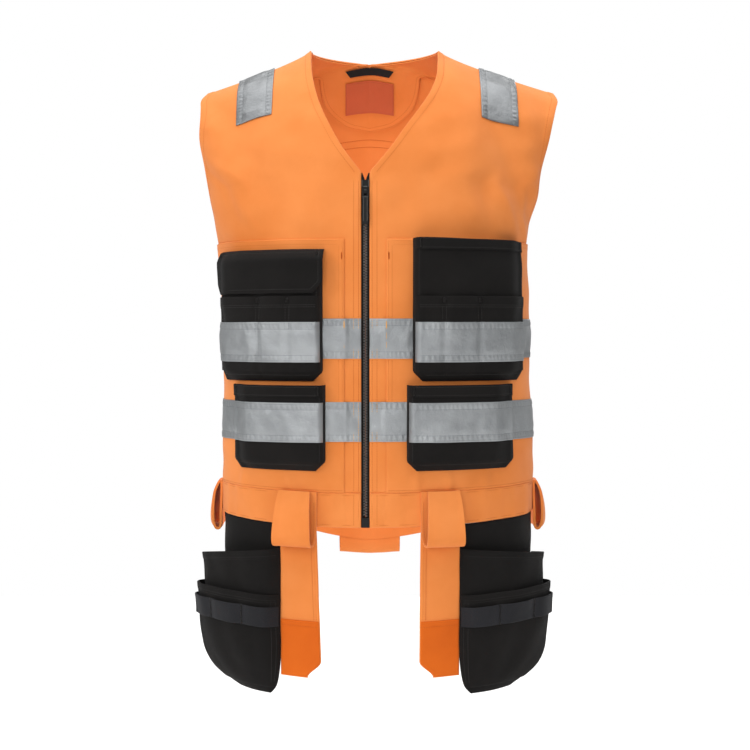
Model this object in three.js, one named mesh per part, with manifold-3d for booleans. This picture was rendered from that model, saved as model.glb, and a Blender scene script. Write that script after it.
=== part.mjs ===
import * as THREE from "three";
import { mergeVertices } from "three/addons/utils/BufferGeometryUtils.js";
import Module from "manifold-3d";

// Utility work vest in the form it has when worn. Millimetres, +Z up, front towards -Y.
// The origin is midway between the neck-side ends of the two shoulder seams.
// Right and left are the wearer's: the wearer's right side lies towards -X.

// Body of the vest
const frontLength = 617;
const backLength = 663;
const hemRise = 11;
const bodyHalf = 201;
const shoulderHalf = 234;
const shoulderDrop = 56;
const chestDepthFront = 136;
const chestDepthBack = 130;
const neckHalf = 83.4;
const neckDepth = 177;
const backNeckDepth = 80;
const backNeckDrop = 5;
const backNeckShift = 0.66;
const armholeDepth = 256;
const armholeReach = 44;
const bodyLean = 6;
const yokeDepth = 150;
const waistbandHeight = 43.6;
const waistbandThickness = 3;

// Cloth and seams
const cloth = 1.5;
const overlay = 1.2;
const gap = 0.3;
const looseGap = 0.6;
const innerGap = 1.2;

// Reflective bands and shoulder patches
const bandHeight = 50;
const bandThickness = 1;
const upperBandTop = 354.4;
const lowerBandTop = 458.8;
const shoulderPatchWidth = 50;
const shoulderPatchLength = 80;
const shoulderPatchFrom = { right: 54, left: 59 };

// Inside the back neck
const labelWidth = 68;
const labelTop = 88;
const labelHeight = 34;
const hangerWidth = 69;
const hangerTop = 76.5;
const hangerHeight = 7;
const hangerLift = 5.5;
const labelLift = 4.4;
const labelThickness = 0.85;

// Front patch panels
const patchTop = 255;
const patchInset = 21;

// Zip
const zipGap = 10.5;
const zipShift = -13.7;
const tapeWidth = 9.3;
const tapeThickness = 1;
const chainWidth = 5;
const chainThickness = 2.4;
const sliderTop = 181;
const sliderLength = 20;
const sliderThickness = 4;
const sliderFoot = 4;
const crownWall = 1.2;
const crownClearance = 0.5;
const eyeLength = 5;
const crownWidth = 3;
const pullerLength = 42;
const pullerWidth = 9;
const pullerThickness = 1.6;
const pivotHeight = 4.6;
const pivotHole = 2.6;
const pivotBar = 1.5;
const zipBoxLength = 12;

// Chest and waist pockets
const upperPocketWidth = 157;
const lowerPocketWidth = 136;
const pocketBelly = 12;
const outerFullness = [0, 0.3, 0.7];
const pocketGusset = 8;
const pocketBottom = 432.5;
const penTop = 326;
const lowerPocketTop = 437;
const lowerPocketBottom = 546;
const flapTop = 268;
const flapLength = 55;
const flapThickness = 2;
const flapOverhang = 2;
const weltHeight = 15;
const chamfer = 12;
const penOpening = 2.5;
const upperCells = 10;
const lowerCells = 9;

// Belt loops
const loopLength = 68;
const loopWidth = 46;
const loopDepth = 20;
const loopThickness = 2.4;
const backLoopWidth = 84;

// Hanging tool pockets
const toolPanelLength = 192;
const toolPocketBottom = 217;
const toolPocketDrop = 31;
const smallPocketDrop = 90;
const toolPocketBelly = 25;
const toolPocketHipGap = 16;
const toolPatchLength = 72;
const webbingWidth = 25;
const webbingDrop = 105;
const webbingSlack = 3;
const smallOpening = 7;
const toolChamfer = 18;
const toolCutAbove = 21.6;

// Neck opening: half width as a share of neckHalf and shift as a share of zipShift,
// down as a share of neckDepth.
const NECKLINE = [
  { down: 0, half: 1, shift: 0.15 },
  { down: 0.12, half: 0.985, shift: 0.16 },
  { down: 0.23, half: 0.957, shift: 0.17 },
  { down: 0.36, half: 0.874, shift: 0.3 },
  { down: 0.47, half: 0.765, shift: 0.51 },
  { down: 0.63, half: 0.566, shift: 0.77 },
  { down: 0.79, half: 0.351, shift: 0.91 },
  { down: 1, half: 0, shift: 1 },
];

// Armhole edge: out as a share of the shoulder's overhang past the body, front and back
// as shares of armholeReach, down as a share of armholeDepth.
const ARMHOLE = [
  { down: 0, out: 0.82, front: 0.07, back: 0.07 },
  { down: 0.06, out: 1, front: -0.32, back: 0.3 },
  { down: 0.12, out: 0.93, front: -0.64, back: 0.5 },
  { down: 0.21, out: 0.83, front: -0.91, back: 0.75 },
  { down: 0.345, out: 0.7, front: -1, back: 1 },
  { down: 0.5, out: 0.5, front: -0.955, back: 1.1 },
  { down: 0.67, out: 0.31, front: -0.8, back: 1 },
  { down: 0.83, out: 0.13, front: -0.5, back: 0.65 },
  { down: 1, out: 0, front: 0, back: 0 },
];

// Front of the body: half as a share of bodyHalf, front as a share of chestDepthFront,
// lean as a share of bodyLean, round is how square the section is, down as a share of frontLength.
const TORSO = [
  { down: 0, half: 1, front: 0, lean: 1, round: 1 },
  { down: 0.036, half: 1, front: 0.235, lean: 0.6, round: 1.05 },
  { down: 0.081, half: 1, front: 0.426, lean: 0.25, round: 1.1 },
  { down: 0.135, half: 1, front: 0.603, lean: -0.2, round: 1.25 },
  { down: 0.18, half: 1, front: 0.72, lean: -0.5, round: 1.45 },
  { down: 0.227, half: 1, front: 0.81, lean: -0.7, round: 1.7 },
  { down: 0.287, half: 1, front: 0.882, lean: -0.82, round: 1.95 },
  { down: 0.345, half: 1, front: 0.94, lean: -0.85, round: 2.15 },
  { down: 0.415, half: 1, front: 0.985, lean: -0.8, round: 2.3 },
  { down: 0.486, half: 0.995, front: 1, lean: -0.4, round: 2.4 },
  { down: 0.574, half: 0.992, front: 0.993, lean: -0.1, round: 2.4 },
  { down: 0.655, half: 0.99, front: 0.97, lean: 0, round: 2.4 },
  { down: 0.744, half: 0.995, front: 0.949, lean: 0.2, round: 2.4 },
  { down: 0.825, half: 1.003, front: 0.934, lean: 0.33, round: 2.4 },
  { down: 0.93, half: 1.005, front: 0.934, lean: 0.4, round: 2.4 },
  { down: 1, half: 1.005, front: 0.949, lean: 0.4, round: 2.4 },
  { down: 1.4, half: 0.99, front: 0.95, lean: 0.4, round: 2.4 },
];

// Back of the body: depth as a share of chestDepthBack, down as a share of frontLength.
const BACK = [
  { down: 0, depth: 0.615, round: 1.5 },
  { down: 0.07, depth: 0.77, round: 1.6 },
  { down: 0.15, depth: 0.88, round: 1.8 },
  { down: 0.27, depth: 0.98, round: 2.1 },
  { down: 0.38, depth: 1, round: 2.3 },
  { down: 0.53, depth: 0.94, round: 2.4 },
  { down: 0.69, depth: 0.845, round: 2.4 },
  { down: 0.79, depth: 0.81, round: 2.4 },
  { down: 0.93, depth: 0.9, round: 2.4 },
  { down: 1, depth: 0.955, round: 2.4 },
  { down: 1.2, depth: 0.98, round: 2.4 },
];

// Broad folds: across as a share of the row, down, wide and long as shares of armholeDepth,
// turn in degrees from upright, out as a share of armholeReach (negative is a hollow).
const FOLDS = [
  { panel: "front", side: -1, across: 0.8, down: 0.42, wide: 0.09, long: 0.4, turn: 24, out: 0.16 },
  { panel: "front", side: -1, across: 0.6, down: 0.55, wide: 0.1, long: 0.42, turn: 20, out: -0.1 },
  { panel: "front", side: 1, across: 0.74, down: 0.52, wide: 0.1, long: 0.34, turn: -28, out: -0.22 },
  { panel: "front", side: 1, across: 0.9, down: 0.6, wide: 0.07, long: 0.3, turn: -34, out: 0.12 },
  { panel: "front", side: 1, across: 0.5, down: 0.66, wide: 0.11, long: 0.4, turn: -12, out: 0.12 },
  { panel: "back", side: -1, across: 0.75, down: 0.6, wide: 0.11, long: 0.4, turn: 24, out: -0.16 },
  { panel: "back", side: 1, across: 0.75, down: 0.6, wide: 0.11, long: 0.4, turn: -24, out: -0.16 },
];

// Across lines shared by the panels and what is sewn on them, as shares of the way
// from the front patch's inner edge to the side seam.
const ACROSS = [0, 0.13, 0.26, 0.39, 0.52, 0.64, 0.74, 0.83, 0.92, 1];

// A belt loop's strap seen from its edge: out as a share of loopDepth, drop of loopLength.
const LOOP = [
  { out: 0, drop: 0 },
  { out: 0, drop: 0.42 },
  { out: 0.02, drop: 0.8 },
  { out: 0.18, drop: 0.96 },
  { out: 0.48, drop: 1 },
  { out: 0.8, drop: 0.97 },
  { out: 0.95, drop: 0.84 },
  { out: 0.84, drop: 0.55 },
  { out: 0.58, drop: 0.26 },
  { out: 0.24, drop: 0.05 },
  { out: 0.16, drop: 0 },
];

// Chest and waist pockets: from as a share of bodyHalf, wide as a share of the pocket width.
const POCKETS = {
  upperRight: { name: "upper_right_pocket", side: -1, from: 0.236, wide: 1 },
  upperLeft: { name: "upper_left_pocket", side: 1, from: 0.267, wide: 1 },
  lowerRight: { name: "lower_right_pocket", side: -1, from: 0.22, wide: 0.94 },
  lowerLeft: { name: "lower_left_pocket", side: 1, from: 0.231, wide: 1.05 },
};

// Belt loops: from is the middle as a share of bodyHalf along the cloth, lean is how far
// the bottom drifts outwards as a share of loopWidth.
const FRONT_LOOPS = [
  { name: "front_loop_right", side: -1, from: 0.413, lean: 0.15 },
  { name: "front_loop_left", side: 1, from: 0.458, lean: 0.18 },
];

// Hanging tool pockets: where the orange panel and the black panel begin across,
// as shares of bodyHalf, and how full the pocket is as a share of toolPocketBelly.
const TOOL_POCKETS = [
  { name: "right_tool_pocket", side: -1, orange: 0.28, low: 0.247, black: 0.517, full: 1 },
  { name: "left_tool_pocket", side: 1, orange: 0.32, low: 0.31, black: 0.572, full: 0.62 },
];

// Outline of a tool pocket: down as a share of its length, from and to as shares of its width.
const TOOL_OUTLINE = [
  { down: 0, from: 0, to: 1 },
  { down: 0.55, from: 0, to: 1 },
  { down: 0.78, from: 0, to: 0.97 },
  { down: 0.89, from: 0.02, to: 0.86 },
  { down: 0.96, from: 0.05, to: 0.68 },
  { down: 1, from: 0.1, to: 0.5 },
];

// Across a tool pocket: at is the share of its width, out the share of its belly.
const TOOL_ACROSS = [
  { at: 0, out: 0 },
  { at: 0.08, out: 0.4 },
  { at: 0.22, out: 0.55 },
  { at: 0.37, out: 0.66 },
  { at: 0.52, out: 0.78 },
  { at: 0.66, out: 0.9 },
  { at: 0.79, out: 1 },
  { at: 0.92, out: 0.95 },
  { at: 1, out: 0 },
];

// Belly of a tool pocket down its length: out as a share of the full belly.
const TOOL_BELLY = [
  { down: 0, out: 1.1 },
  { down: 0.14, out: 1.1 },
  { down: 0.3, out: 1 },
  { down: 0.55, out: 0.95 },
  { down: 0.78, out: 0.85 },
  { down: 0.89, out: 0.6 },
  { down: 0.96, out: 0.3 },
  { down: 1, out: 0 },
];

// How far the small tool pocket stands off the large one, row by row from its mouth down,
// as a share of smallOpening.
const SMALL_LIP = [1, 1, 0.9, 0.7, 0.4, 0];

// Neck facing: turn from the centre back (0) to the shoulder seam (1), top and low as shares
// of yokeDepth, across as a share of neckHalf.
const FACING = [
  { turn: 0, top: 0.5, low: 0.92, across: 0 },
  { turn: 0.25, top: 0.4, low: 0.86, across: 0.42 },
  { turn: 0.5, top: 0.28, low: 0.68, across: 0.78 },
  { turn: 0.75, top: 0.14, low: 0.36, across: 0.86 },
  { turn: 1, top: 0, low: 0, across: 0.72 },
];

const waistSeam = frontLength - waistbandHeight;
const riseFrom = lowerBandTop + bandHeight;
const backNeckRow = yokeDepth / 2;
const patchIn = cloth + gap;
const patchOut = patchIn + overlay;
const bandOnCloth = cloth + gap;
const bandOnPatch = patchOut + gap;
const pocketIn = bandOnPatch + bandThickness + looseGap;

const orange = new THREE.MeshStandardMaterial({ color: 0xf0883a, roughness: 0.85, metalness: 0 });
const black = new THREE.MeshStandardMaterial({ color: 0x1e1c1b, roughness: 0.9, metalness: 0 });
const reflective = new THREE.MeshStandardMaterial({ color: 0xabb0b2, roughness: 0.45, metalness: 0.2 });
const webbing = new THREE.MeshStandardMaterial({ color: 0x323236, roughness: 0.8, metalness: 0 });
const tape = new THREE.MeshStandardMaterial({ color: 0x151515, roughness: 0.8, metalness: 0 });
const plastic = new THREE.MeshStandardMaterial({ color: 0x232323, roughness: 0.4, metalness: 0 });
const label = new THREE.MeshStandardMaterial({ color: 0xcf5f2e, roughness: 0.7, metalness: 0 });

const vest = new THREE.Group();

function clamp(value, low, high) {
  return Math.min(high, Math.max(low, value));
}

function smooth(share) {
  const t = clamp(share, 0, 1);
  return t * t * (3 - 2 * t);
}

// One column of a table at any height, on a smooth curve through its rows.
function read(rows, name, at, key = "down") {
  const last = rows.length - 1;
  let i = 0;
  while (i < last - 1 && at > rows[i + 1][key]) i += 1;
  const slope = (j) => {
    const a = rows[Math.max(0, j - 1)];
    const b = rows[Math.min(last, j + 1)];
    return (b[name] - a[name]) / (b[key] - a[key]);
  };
  const span = rows[i + 1][key] - rows[i][key];
  const t = clamp((at - rows[i][key]) / span, 0, 1);
  const mix = smooth(t);
  const rise = (t * t * t - 2 * t * t + t) * slope(i) + (t * t * t - t * t) * slope(i + 1);
  return rows[i][name] * (1 - mix) + rows[i + 1][name] * mix + rise * span;
}

// Outer end of a row: the armhole edge, and below it the side seam.
function outerEnd(panel, side, down) {
  const share = down / frontLength;
  const hole = clamp(down / armholeDepth, 0, 1);
  const overhang = (shoulderHalf - bodyHalf) * read(ARMHOLE, "out", hole);
  const half = bodyHalf * read(TORSO, "half", share) + overhang;
  const rise = hemRise * smooth((down - riseFrom) / (frontLength - riseFrom));
  return {
    xOut: bodyLean * read(TORSO, "lean", share) + side * half,
    yOut: armholeReach * read(ARMHOLE, panel, hole),
    zOut: -down - shoulderDrop * (1 - hole) + rise,
  };
}

// Inner end of a front row: the neck edge, and below it the edge beside the zip.
function frontRow(side, down) {
  const neck = clamp(down / neckDepth, 0, 1);
  const half = Math.max(neckHalf * read(NECKLINE, "half", neck), zipGap / 2);
  const share = down / frontLength;
  return {
    xIn: zipShift * read(NECKLINE, "shift", neck) + side * half,
    yIn: -chestDepthFront * read(TORSO, "front", share),
    zIn: -down,
    round: read(TORSO, "round", share),
    bend: 0.8 + clamp(down / armholeDepth, 0, 1),
  };
}

// Inner end of a back row: round the neck edge first, then down the centre back.
function backRow(side, down) {
  const start = zipShift * NECKLINE[0].shift;
  const middle = zipShift * backNeckShift;
  if (down < backNeckRow) {
    const turn = (Math.PI / 2) * (down / backNeckRow);
    return {
      xIn: start + (middle - start) * Math.sin(turn) + side * neckHalf * Math.cos(turn),
      yIn: backNeckDepth * Math.sin(turn),
      zIn: -backNeckDrop * (1 - Math.cos(turn)),
      round: 1 + 0.5 * (down / backNeckRow),
      bend: 0.8 + 0.8 * (down / backNeckRow),
    };
  }
  const level = clamp((down - backNeckRow) / (armholeDepth - backNeckRow), 0, 1);
  const longer = (backLength - frontLength) * smooth((down - riseFrom) / (frontLength - riseFrom));
  const upper = backNeckDrop + (armholeDepth - backNeckDrop) * level;
  const deep = down > armholeDepth ? down + longer : upper;
  return {
    xIn: middle,
    yIn: chestDepthBack * read(BACK, "depth", deep / frontLength),
    zIn: -deep,
    round: read(BACK, "round", deep / frontLength),
    bend: 1.6,
  };
}

const squareness = 2.3;
const rowSteps = 96;
const rowCache = new Map();

// A point on a row: a superellipse quarter from the inner end to the outer end.
function onRow(ends, turn) {
  const along = Math.sin(turn) ** (2 / squareness);
  const back = Math.max(0, Math.cos(turn)) ** (2 / ends.round);
  return new THREE.Vector3(
    ends.xIn + (ends.xOut - ends.xIn) * along,
    ends.yOut + (ends.yIn - ends.yOut) * back,
    ends.zIn + (ends.zOut - ends.zIn) * along ** ends.bend,
  );
}

// A row with its length measured along the cloth.
function measuredRow(panel, side, down) {
  const key = `${panel} ${side} ${down.toFixed(3)}`;
  if (!rowCache.has(key)) {
    const inner = panel === "front" ? frontRow(side, down) : backRow(side, down);
    const ends = { ...inner, ...outerEnd(panel, side, down) };
    const lengths = [0];
    let before = onRow(ends, 0);
    for (let i = 1; i <= rowSteps; i += 1) {
      const point = onRow(ends, (Math.PI / 2) * (i / rowSteps));
      lengths.push(lengths[i - 1] + point.distanceTo(before));
      before = point;
    }
    rowCache.set(key, { ends, lengths, total: lengths[rowSteps] });
  }
  return rowCache.get(key);
}

function rowLength(panel, side, down) {
  return measuredRow(panel, side, down).total;
}

// The body's surface, without folds, a distance along the cloth from the row's inner end.
function plain(panel, side, along, down) {
  const { ends, lengths, total } = measuredRow(panel, side, down);
  const at = clamp(along, 0, total);
  let i = 0;
  while (i < rowSteps - 1 && at > lengths[i + 1]) i += 1;
  const part = (at - lengths[i]) / (lengths[i + 1] - lengths[i]);
  return onRow(ends, (Math.PI / 2) * ((i + part) / rowSteps));
}

const seamBlend = 12;
const probe = 0.5;

function ownNormal(panel, side, along, down) {
  const share = along / rowLength(panel, side, down);
  const above = Math.max(0, down - probe);
  const below = down + probe;
  const total = rowLength(panel, side, down);
  const acrossStep = plain(panel, side, Math.min(total, along + probe), down)
    .sub(plain(panel, side, Math.max(0, along - probe), down));
  const downStep = plain(panel, side, share * rowLength(panel, side, below), below)
    .sub(plain(panel, side, share * rowLength(panel, side, above), above));
  const outwards = panel === "front" ? -side : side;
  return acrossStep.cross(downStep).multiplyScalar(outwards).normalize();
}

// Outward direction, shared by both panels where they meet at a seam.
function normal(panel, side, along, down) {
  const own = ownNormal(panel, side, along, down);
  const total = rowLength(panel, side, down);
  if (down < seamBlend) {
    const share = along / total;
    const front = ownNormal("front", side, share * rowLength("front", side, 0), 0);
    const back = ownNormal("back", side, share * rowLength("back", side, 0), 0);
    own.lerp(front.add(back).normalize(), 1 - down / seamBlend);
  }
  if (panel === "back" && down >= backNeckRow && along < seamBlend) {
    const middle = ownNormal("back", -1, 0, down).add(ownNormal("back", 1, 0, down));
    own.lerp(middle.normalize(), 1 - along / seamBlend);
  }
  if (down >= armholeDepth && total - along < seamBlend) {
    own.lerp(new THREE.Vector3(side, 0, 0), 1 - (total - along) / seamBlend);
  }
  return own.normalize();
}

// How far the folds push the cloth out, fading to nothing at the seams.
function foldOut(panel, side, along, down) {
  const total = rowLength(panel, side, down);
  let sum = 0;
  for (const fold of FOLDS.filter((row) => row.panel === panel && row.side === side)) {
    const turn = THREE.MathUtils.degToRad(fold.turn);
    const across = along - fold.across * total;
    const over = down - fold.down * armholeDepth;
    const p = across * Math.cos(turn) + over * Math.sin(turn);
    const q = over * Math.cos(turn) - across * Math.sin(turn);
    const spread = (p / (fold.wide * armholeDepth)) ** 2 + (q / (fold.long * armholeDepth)) ** 2;
    sum += armholeReach * fold.out * Math.exp(-spread);
  }
  const shoulder = smooth(down / (0.4 * armholeDepth));
  const patch = smooth((patchTop - down) / (0.16 * armholeDepth));
  return sum * shoulder * patch;
}

// A point of the vest: on the body, a distance out from the inside face of the cloth.
function place(panel, side, along, down, out) {
  const direction = normal(panel, side, along, down);
  const lift = out + foldOut(panel, side, along, down);
  return plain(panel, side, along, down).addScaledVector(direction, lift);
}

function addMesh(name, geometry, material) {
  const mesh = new THREE.Mesh(geometry, material);
  mesh.name = name;
  vest.add(mesh);
  return mesh;
}

function signedVolume(points, faces) {
  const cross = new THREE.Vector3();
  const part = ([a, b, c]) => points[a].dot(cross.crossVectors(points[b], points[c])) / 6;
  return faces.reduce((sum, face) => sum + part(face), 0);
}

// A closed body from points and triangles, with points at the same place made one.
function solid(points, triangles) {
  const places = new Map();
  const kept = [];
  const index = points.map((point) => {
    const key = `${point.x.toFixed(3)} ${point.y.toFixed(3)} ${point.z.toFixed(3)}`;
    if (!places.has(key)) {
      places.set(key, kept.length);
      kept.push(point);
    }
    return places.get(key);
  });
  const faces = triangles.map((face) => face.map((i) => index[i]))
    .filter(([a, b, c]) => a !== b && b !== c && c !== a);
  const outwards = signedVolume(kept, faces) > 0;
  const geometry = new THREE.BufferGeometry();
  const position = new Float32Array(kept.flatMap((point) => point.toArray()));
  geometry.setAttribute("position", new THREE.BufferAttribute(position, 3));
  geometry.setIndex(faces.flatMap(([a, b, c]) => (outwards ? [a, b, c] : [a, c, b])));
  geometry.computeVertexNormals();
  return geometry;
}

// Triangles of a wall of cloth: a grid of points on its inside and the same grid on its
// outside. From row joined on, the first column has no edge, because a second half meets it.
function wall(inside, outside, joined = Infinity) {
  const rows = inside.length;
  const columns = inside[0].length;
  const points = [...inside.flat(), ...outside.flat()];
  const at = (i, j, layer) => layer * rows * columns + i * columns + j;
  const faces = [];
  const quad = (a, b, c, d) => faces.push([a, b, c], [a, c, d]);
  for (let i = 0; i < rows - 1; i += 1) {
    for (let j = 0; j < columns - 1; j += 1) {
      quad(at(i, j, 1), at(i + 1, j, 1), at(i + 1, j + 1, 1), at(i, j + 1, 1));
      faces.push([at(i, j, 0), at(i + 1, j + 1, 0), at(i + 1, j, 0)]);
      faces.push([at(i, j, 0), at(i, j + 1, 0), at(i + 1, j + 1, 0)]);
    }
    if (i < joined) quad(at(i, 0, 0), at(i + 1, 0, 0), at(i + 1, 0, 1), at(i, 0, 1));
    const end = columns - 1;
    quad(at(i, end, 1), at(i + 1, end, 1), at(i + 1, end, 0), at(i, end, 0));
  }
  for (let j = 0; j < columns - 1; j += 1) {
    const end = rows - 1;
    quad(at(0, j, 1), at(0, j + 1, 1), at(0, j + 1, 0), at(0, j, 0));
    quad(at(end, j, 0), at(end, j + 1, 0), at(end, j + 1, 1), at(end, j, 1));
  }
  return { points, faces };
}

function sheet(inside, outside) {
  const { points, faces } = wall(inside, outside);
  return solid(points, faces);
}

// A sheet on one panel. across(down) gives distances along the cloth, and inner(i, j)
// the height of the inside face above the body's surface.
function panelSheet(panel, side, across, downs, inner, thickness) {
  const grid = (extra) => downs.map((down, i) => across(down, i)
    .map((s, j) => place(panel, side, s, down, inner(i, j) + extra)));
  return sheet(grid(0), grid(thickness));
}

// A sheet over both halves of the back, joined along the centre back.
function backSheet(across, downs, inner, thickness) {
  const points = [];
  const faces = [];
  const joined = downs.findIndex((down) => down >= backNeckRow - probe);
  for (const side of [-1, 1]) {
    const grid = (extra) => downs.map((down) => across(side, down)
      .map((s, j) => place("back", side, s, down, inner(j, down) + extra)));
    const half = wall(grid(0), grid(thickness), joined);
    const first = points.length;
    points.push(...half.points);
    const turned = ([a, b, c]) => (side < 0 ? [a, c, b] : [a, b, c]);
    faces.push(...half.faces.map((face) => turned(face).map((k) => k + first)));
  }
  return solid(points, faces);
}

function spaced(from, to, count) {
  return Array.from({ length: count + 1 }, (unused, i) => from + ((to - from) * i) / count);
}

const neckDowns = [0.02, 0.05, 0.09, 0.135, 0.18, 0.23].map((share) => share * frontLength);
const chestDowns = [neckDepth, 0.5 * (neckDepth + patchTop), patchTop];
const patchDowns = [
  patchTop, 0.5 * (patchTop + upperBandTop), upperBandTop, upperBandTop + bandHeight,
  lowerBandTop, riseFrom, 0.5 * (riseFrom + waistSeam), waistSeam - gap,
];
const frontDowns = [gap / 2, ...neckDowns, ...chestDowns, ...patchDowns.slice(1)];
const yokeDowns = [
  gap / 2, ...spaced(0, backNeckRow, 7).slice(1), ...spaced(backNeckRow, yokeDepth - gap, 3).slice(1),
];
const backDowns = [yokeDepth, 0.5 * (yokeDepth + armholeDepth), armholeDepth, ...patchDowns.slice(1)];

// Distances along a front row: the shared lines from the patch's inner edge to the side seam.
function patchAcross(side) {
  return (down) => {
    const total = rowLength("front", side, down) - (down > armholeDepth ? gap / 2 : 0);
    const inset = patchInset * clamp(down / neckDepth, 0.6, 1);
    return ACROSS.map((share) => inset + (total - inset) * share);
  };
}

function frontAcross(side) {
  return (down) => [0, ...patchAcross(side)(down)];
}

const backLines = [0, 0.1, 0.2, 0.31, 0.42, 0.53, 0.64, 0.75, 0.84, 0.92, 1];

function backAcross(side, down) {
  const total = rowLength("back", side, down) - (down > armholeDepth ? gap / 2 : 0);
  return backLines.map((share) => share * total);
}

function sideName(side) {
  return side < 0 ? "right" : "left";
}

function buildPanels() {
  for (const side of [-1, 1]) {
    const front = panelSheet("front", side, frontAcross(side), frontDowns, () => 0, cloth);
    addMesh(`front_${sideName(side)}`, front, orange);
    const patch = panelSheet("front", side, patchAcross(side), patchDowns, () => patchIn, overlay);
    addMesh(`front_patch_${sideName(side)}`, patch, orange);
  }
  addMesh("back_yoke", backSheet(backAcross, yokeDowns, () => 0, cloth), orange);
  addMesh("back_panel", backSheet(backAcross, backDowns, () => 0, cloth), orange);
}

function buildWaistband() {
  const downs = [waistSeam, frontLength];
  for (const side of [-1, 1]) {
    const piece = panelSheet("front", side, frontAcross(side), downs, () => 0, waistbandThickness);
    addMesh(`waistband_${sideName(side)}`, piece, orange);
  }
  addMesh("waistband_back", backSheet(backAcross, downs, () => 0, waistbandThickness), orange);
}

// Reflective bands: on the front they step up from the panel on to the patch.
function buildBand(name, top) {
  const downs = [top, top + bandHeight];
  for (const side of [-1, 1]) {
    const across = (down) => {
      const lines = patchAcross(side)(down);
      return [0, lines[0] - 5 * overlay, lines[0] - overlay, ...lines];
    };
    const inner = (i, j) => (j < 2 ? bandOnCloth : bandOnPatch);
    const piece = panelSheet("front", side, across, downs, inner, bandThickness);
    addMesh(`${name}_${sideName(side)}`, piece, reflective);
  }
  const inner = (j) => (j === backLines.length - 1 ? bandOnPatch : bandOnCloth);
  addMesh(`${name}_back`, backSheet(backAcross, downs, inner, bandThickness), reflective);
}

// Distance along a row at which the cloth reaches a place across the body.
function alongAtX(panel, side, x, down) {
  let low = 0;
  let high = rowLength(panel, side, down);
  for (let i = 0; i < 30; i += 1) {
    const middle = (low + high) / 2;
    if (plain(panel, side, middle, down).x * side < x * side) low = middle;
    else high = middle;
  }
  return (low + high) / 2;
}

// A reflective patch that lies over the shoulder, from the front to the back.
function buildShoulderPatch(side, from) {
  const lines = spaced(from, from + shoulderPatchWidth, 3)
    .map((along) => plain("front", side, along, 0).x);
  const downs = [...neckDowns.slice(0, 3), shoulderPatchLength];
  const rows = [
    ...[...downs].reverse().map((down) => ["front", down]),
    ["front", 0],
    ...yokeDowns.slice(1).filter((down) => down < shoulderPatchLength).map((down) => ["back", down]),
  ];
  const lift = patchIn + looseGap;
  const grid = (out) => rows.map(([panel, down]) => lines
    .map((x) => place(panel, side, alongAtX(panel, side, x, down), down, out)));
  addMesh(`shoulder_patch_${sideName(side)}`, sheet(grid(lift), grid(lift + bandThickness)), reflective);
}

// Facing inside the back neck, from shoulder seam to shoulder seam.
function buildFacing() {
  const turns = spaced(-1, 1, 18);
  const grid = (out) => spaced(0, 1, 3).map((part) => turns.map((turn) => {
    const side = turn < 0 ? -1 : 1;
    const top = yokeDepth * read(FACING, "top", Math.abs(turn), "turn");
    const low = yokeDepth * read(FACING, "low", Math.abs(turn), "turn");
    const across = neckHalf * read(FACING, "across", Math.abs(turn), "turn");
    return place("back", side, across * part, top + (low - top) * part, out);
  }));
  const out = -innerGap - overlay;
  addMesh("neck_facing", sheet(grid(out), grid(-innerGap)), orange);
}

// A flat piece sewn inside the back neck: distances across and down, and how much its
// lower edge is shorter at each end.
function innerPiece(name, reach, downs, taper, lift, material) {
  const across = (side, down) => {
    const end = reach - (taper * (down - downs[0])) / (downs[downs.length - 1] - downs[0]);
    return spaced(0, end, 3);
  };
  addMesh(name, backSheet(across, downs, () => -lift, labelThickness), material);
}

const zipDowns = [neckDepth - 5, ...chestDowns.slice(1), ...patchDowns.slice(1, -1), waistSeam];

// A point beside the zip's middle line, on the flat stretch between the two fronts.
function zipPoint(x, down, out) {
  const direction = normal("front", 1, 0, down);
  direction.x = 0;
  direction.normalize();
  const { yIn, zIn } = frontRow(1, down);
  return new THREE.Vector3(zipShift + x, yIn, zIn).addScaledVector(direction, out);
}

function buildZip() {
  const downs = [...zipDowns, frontLength - gap];
  for (const side of [-1, 1]) {
    const edge = chainWidth / 2 + gap;
    const across = [edge, edge + tapeWidth];
    const grid = (out) => downs.map((down) => across.map((x) => zipPoint(side * x, down, out)));
    addMesh(`zip_tape_${sideName(side)}`, sheet(grid(-gap - tapeThickness), grid(-gap)), tape);
  }
  const chainTop = sliderTop + sliderLength + gap;
  const chainEnd = frontLength - zipBoxLength - 2 * gap;
  const middles = between(zipDowns, chainTop + chainWidth, chainEnd - chainWidth);
  const chainDowns = [chainTop, ...middles, chainEnd];
  const section = [[-0.5, -0.2], [-0.3, 0.4], [0.3, 0.4], [0.5, -0.2], [0.3, -0.5], [-0.3, -0.5]];
  const rings = chainDowns.map((down) => section
    .map(([x, out]) => zipPoint(x * chainWidth, down, out * chainThickness)));
  addMesh("zip_chain", prism(rings), plastic);
  const box = [[-0.5, 0], [0.5, 0], [0.5, 0.55], [-0.5, 0.55]];
  const boxRings = [frontLength - zipBoxLength - gap, frontLength - gap].map((down) => box
    .map(([x, out]) => zipPoint(x * (zipGap - 4 * gap), down, out * chainThickness * 2)));
  addMesh("zip_box", prism(boxRings), plastic);
}

function between(values, low, high) {
  return values.filter((value) => value > low && value < high);
}

// A closed bar through rings of points, flat at both ends.
function prism(rings) {
  const count = rings[0].length;
  const points = rings.flat();
  const faces = [];
  for (let i = 0; i < rings.length - 1; i += 1) {
    for (let j = 0; j < count; j += 1) {
      const k = (j + 1) % count;
      const a = i * count;
      faces.push([a + j, a + k, a + count + k], [a + j, a + count + k, a + count + j]);
    }
  }
  const last = (rings.length - 1) * count;
  for (let j = 1; j < count - 1; j += 1) {
    faces.push([0, j + 1, j], [last, last + j, last + j + 1]);
  }
  return solid(points, faces);
}

const wasm = await Module();
wasm.setup();

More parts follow.
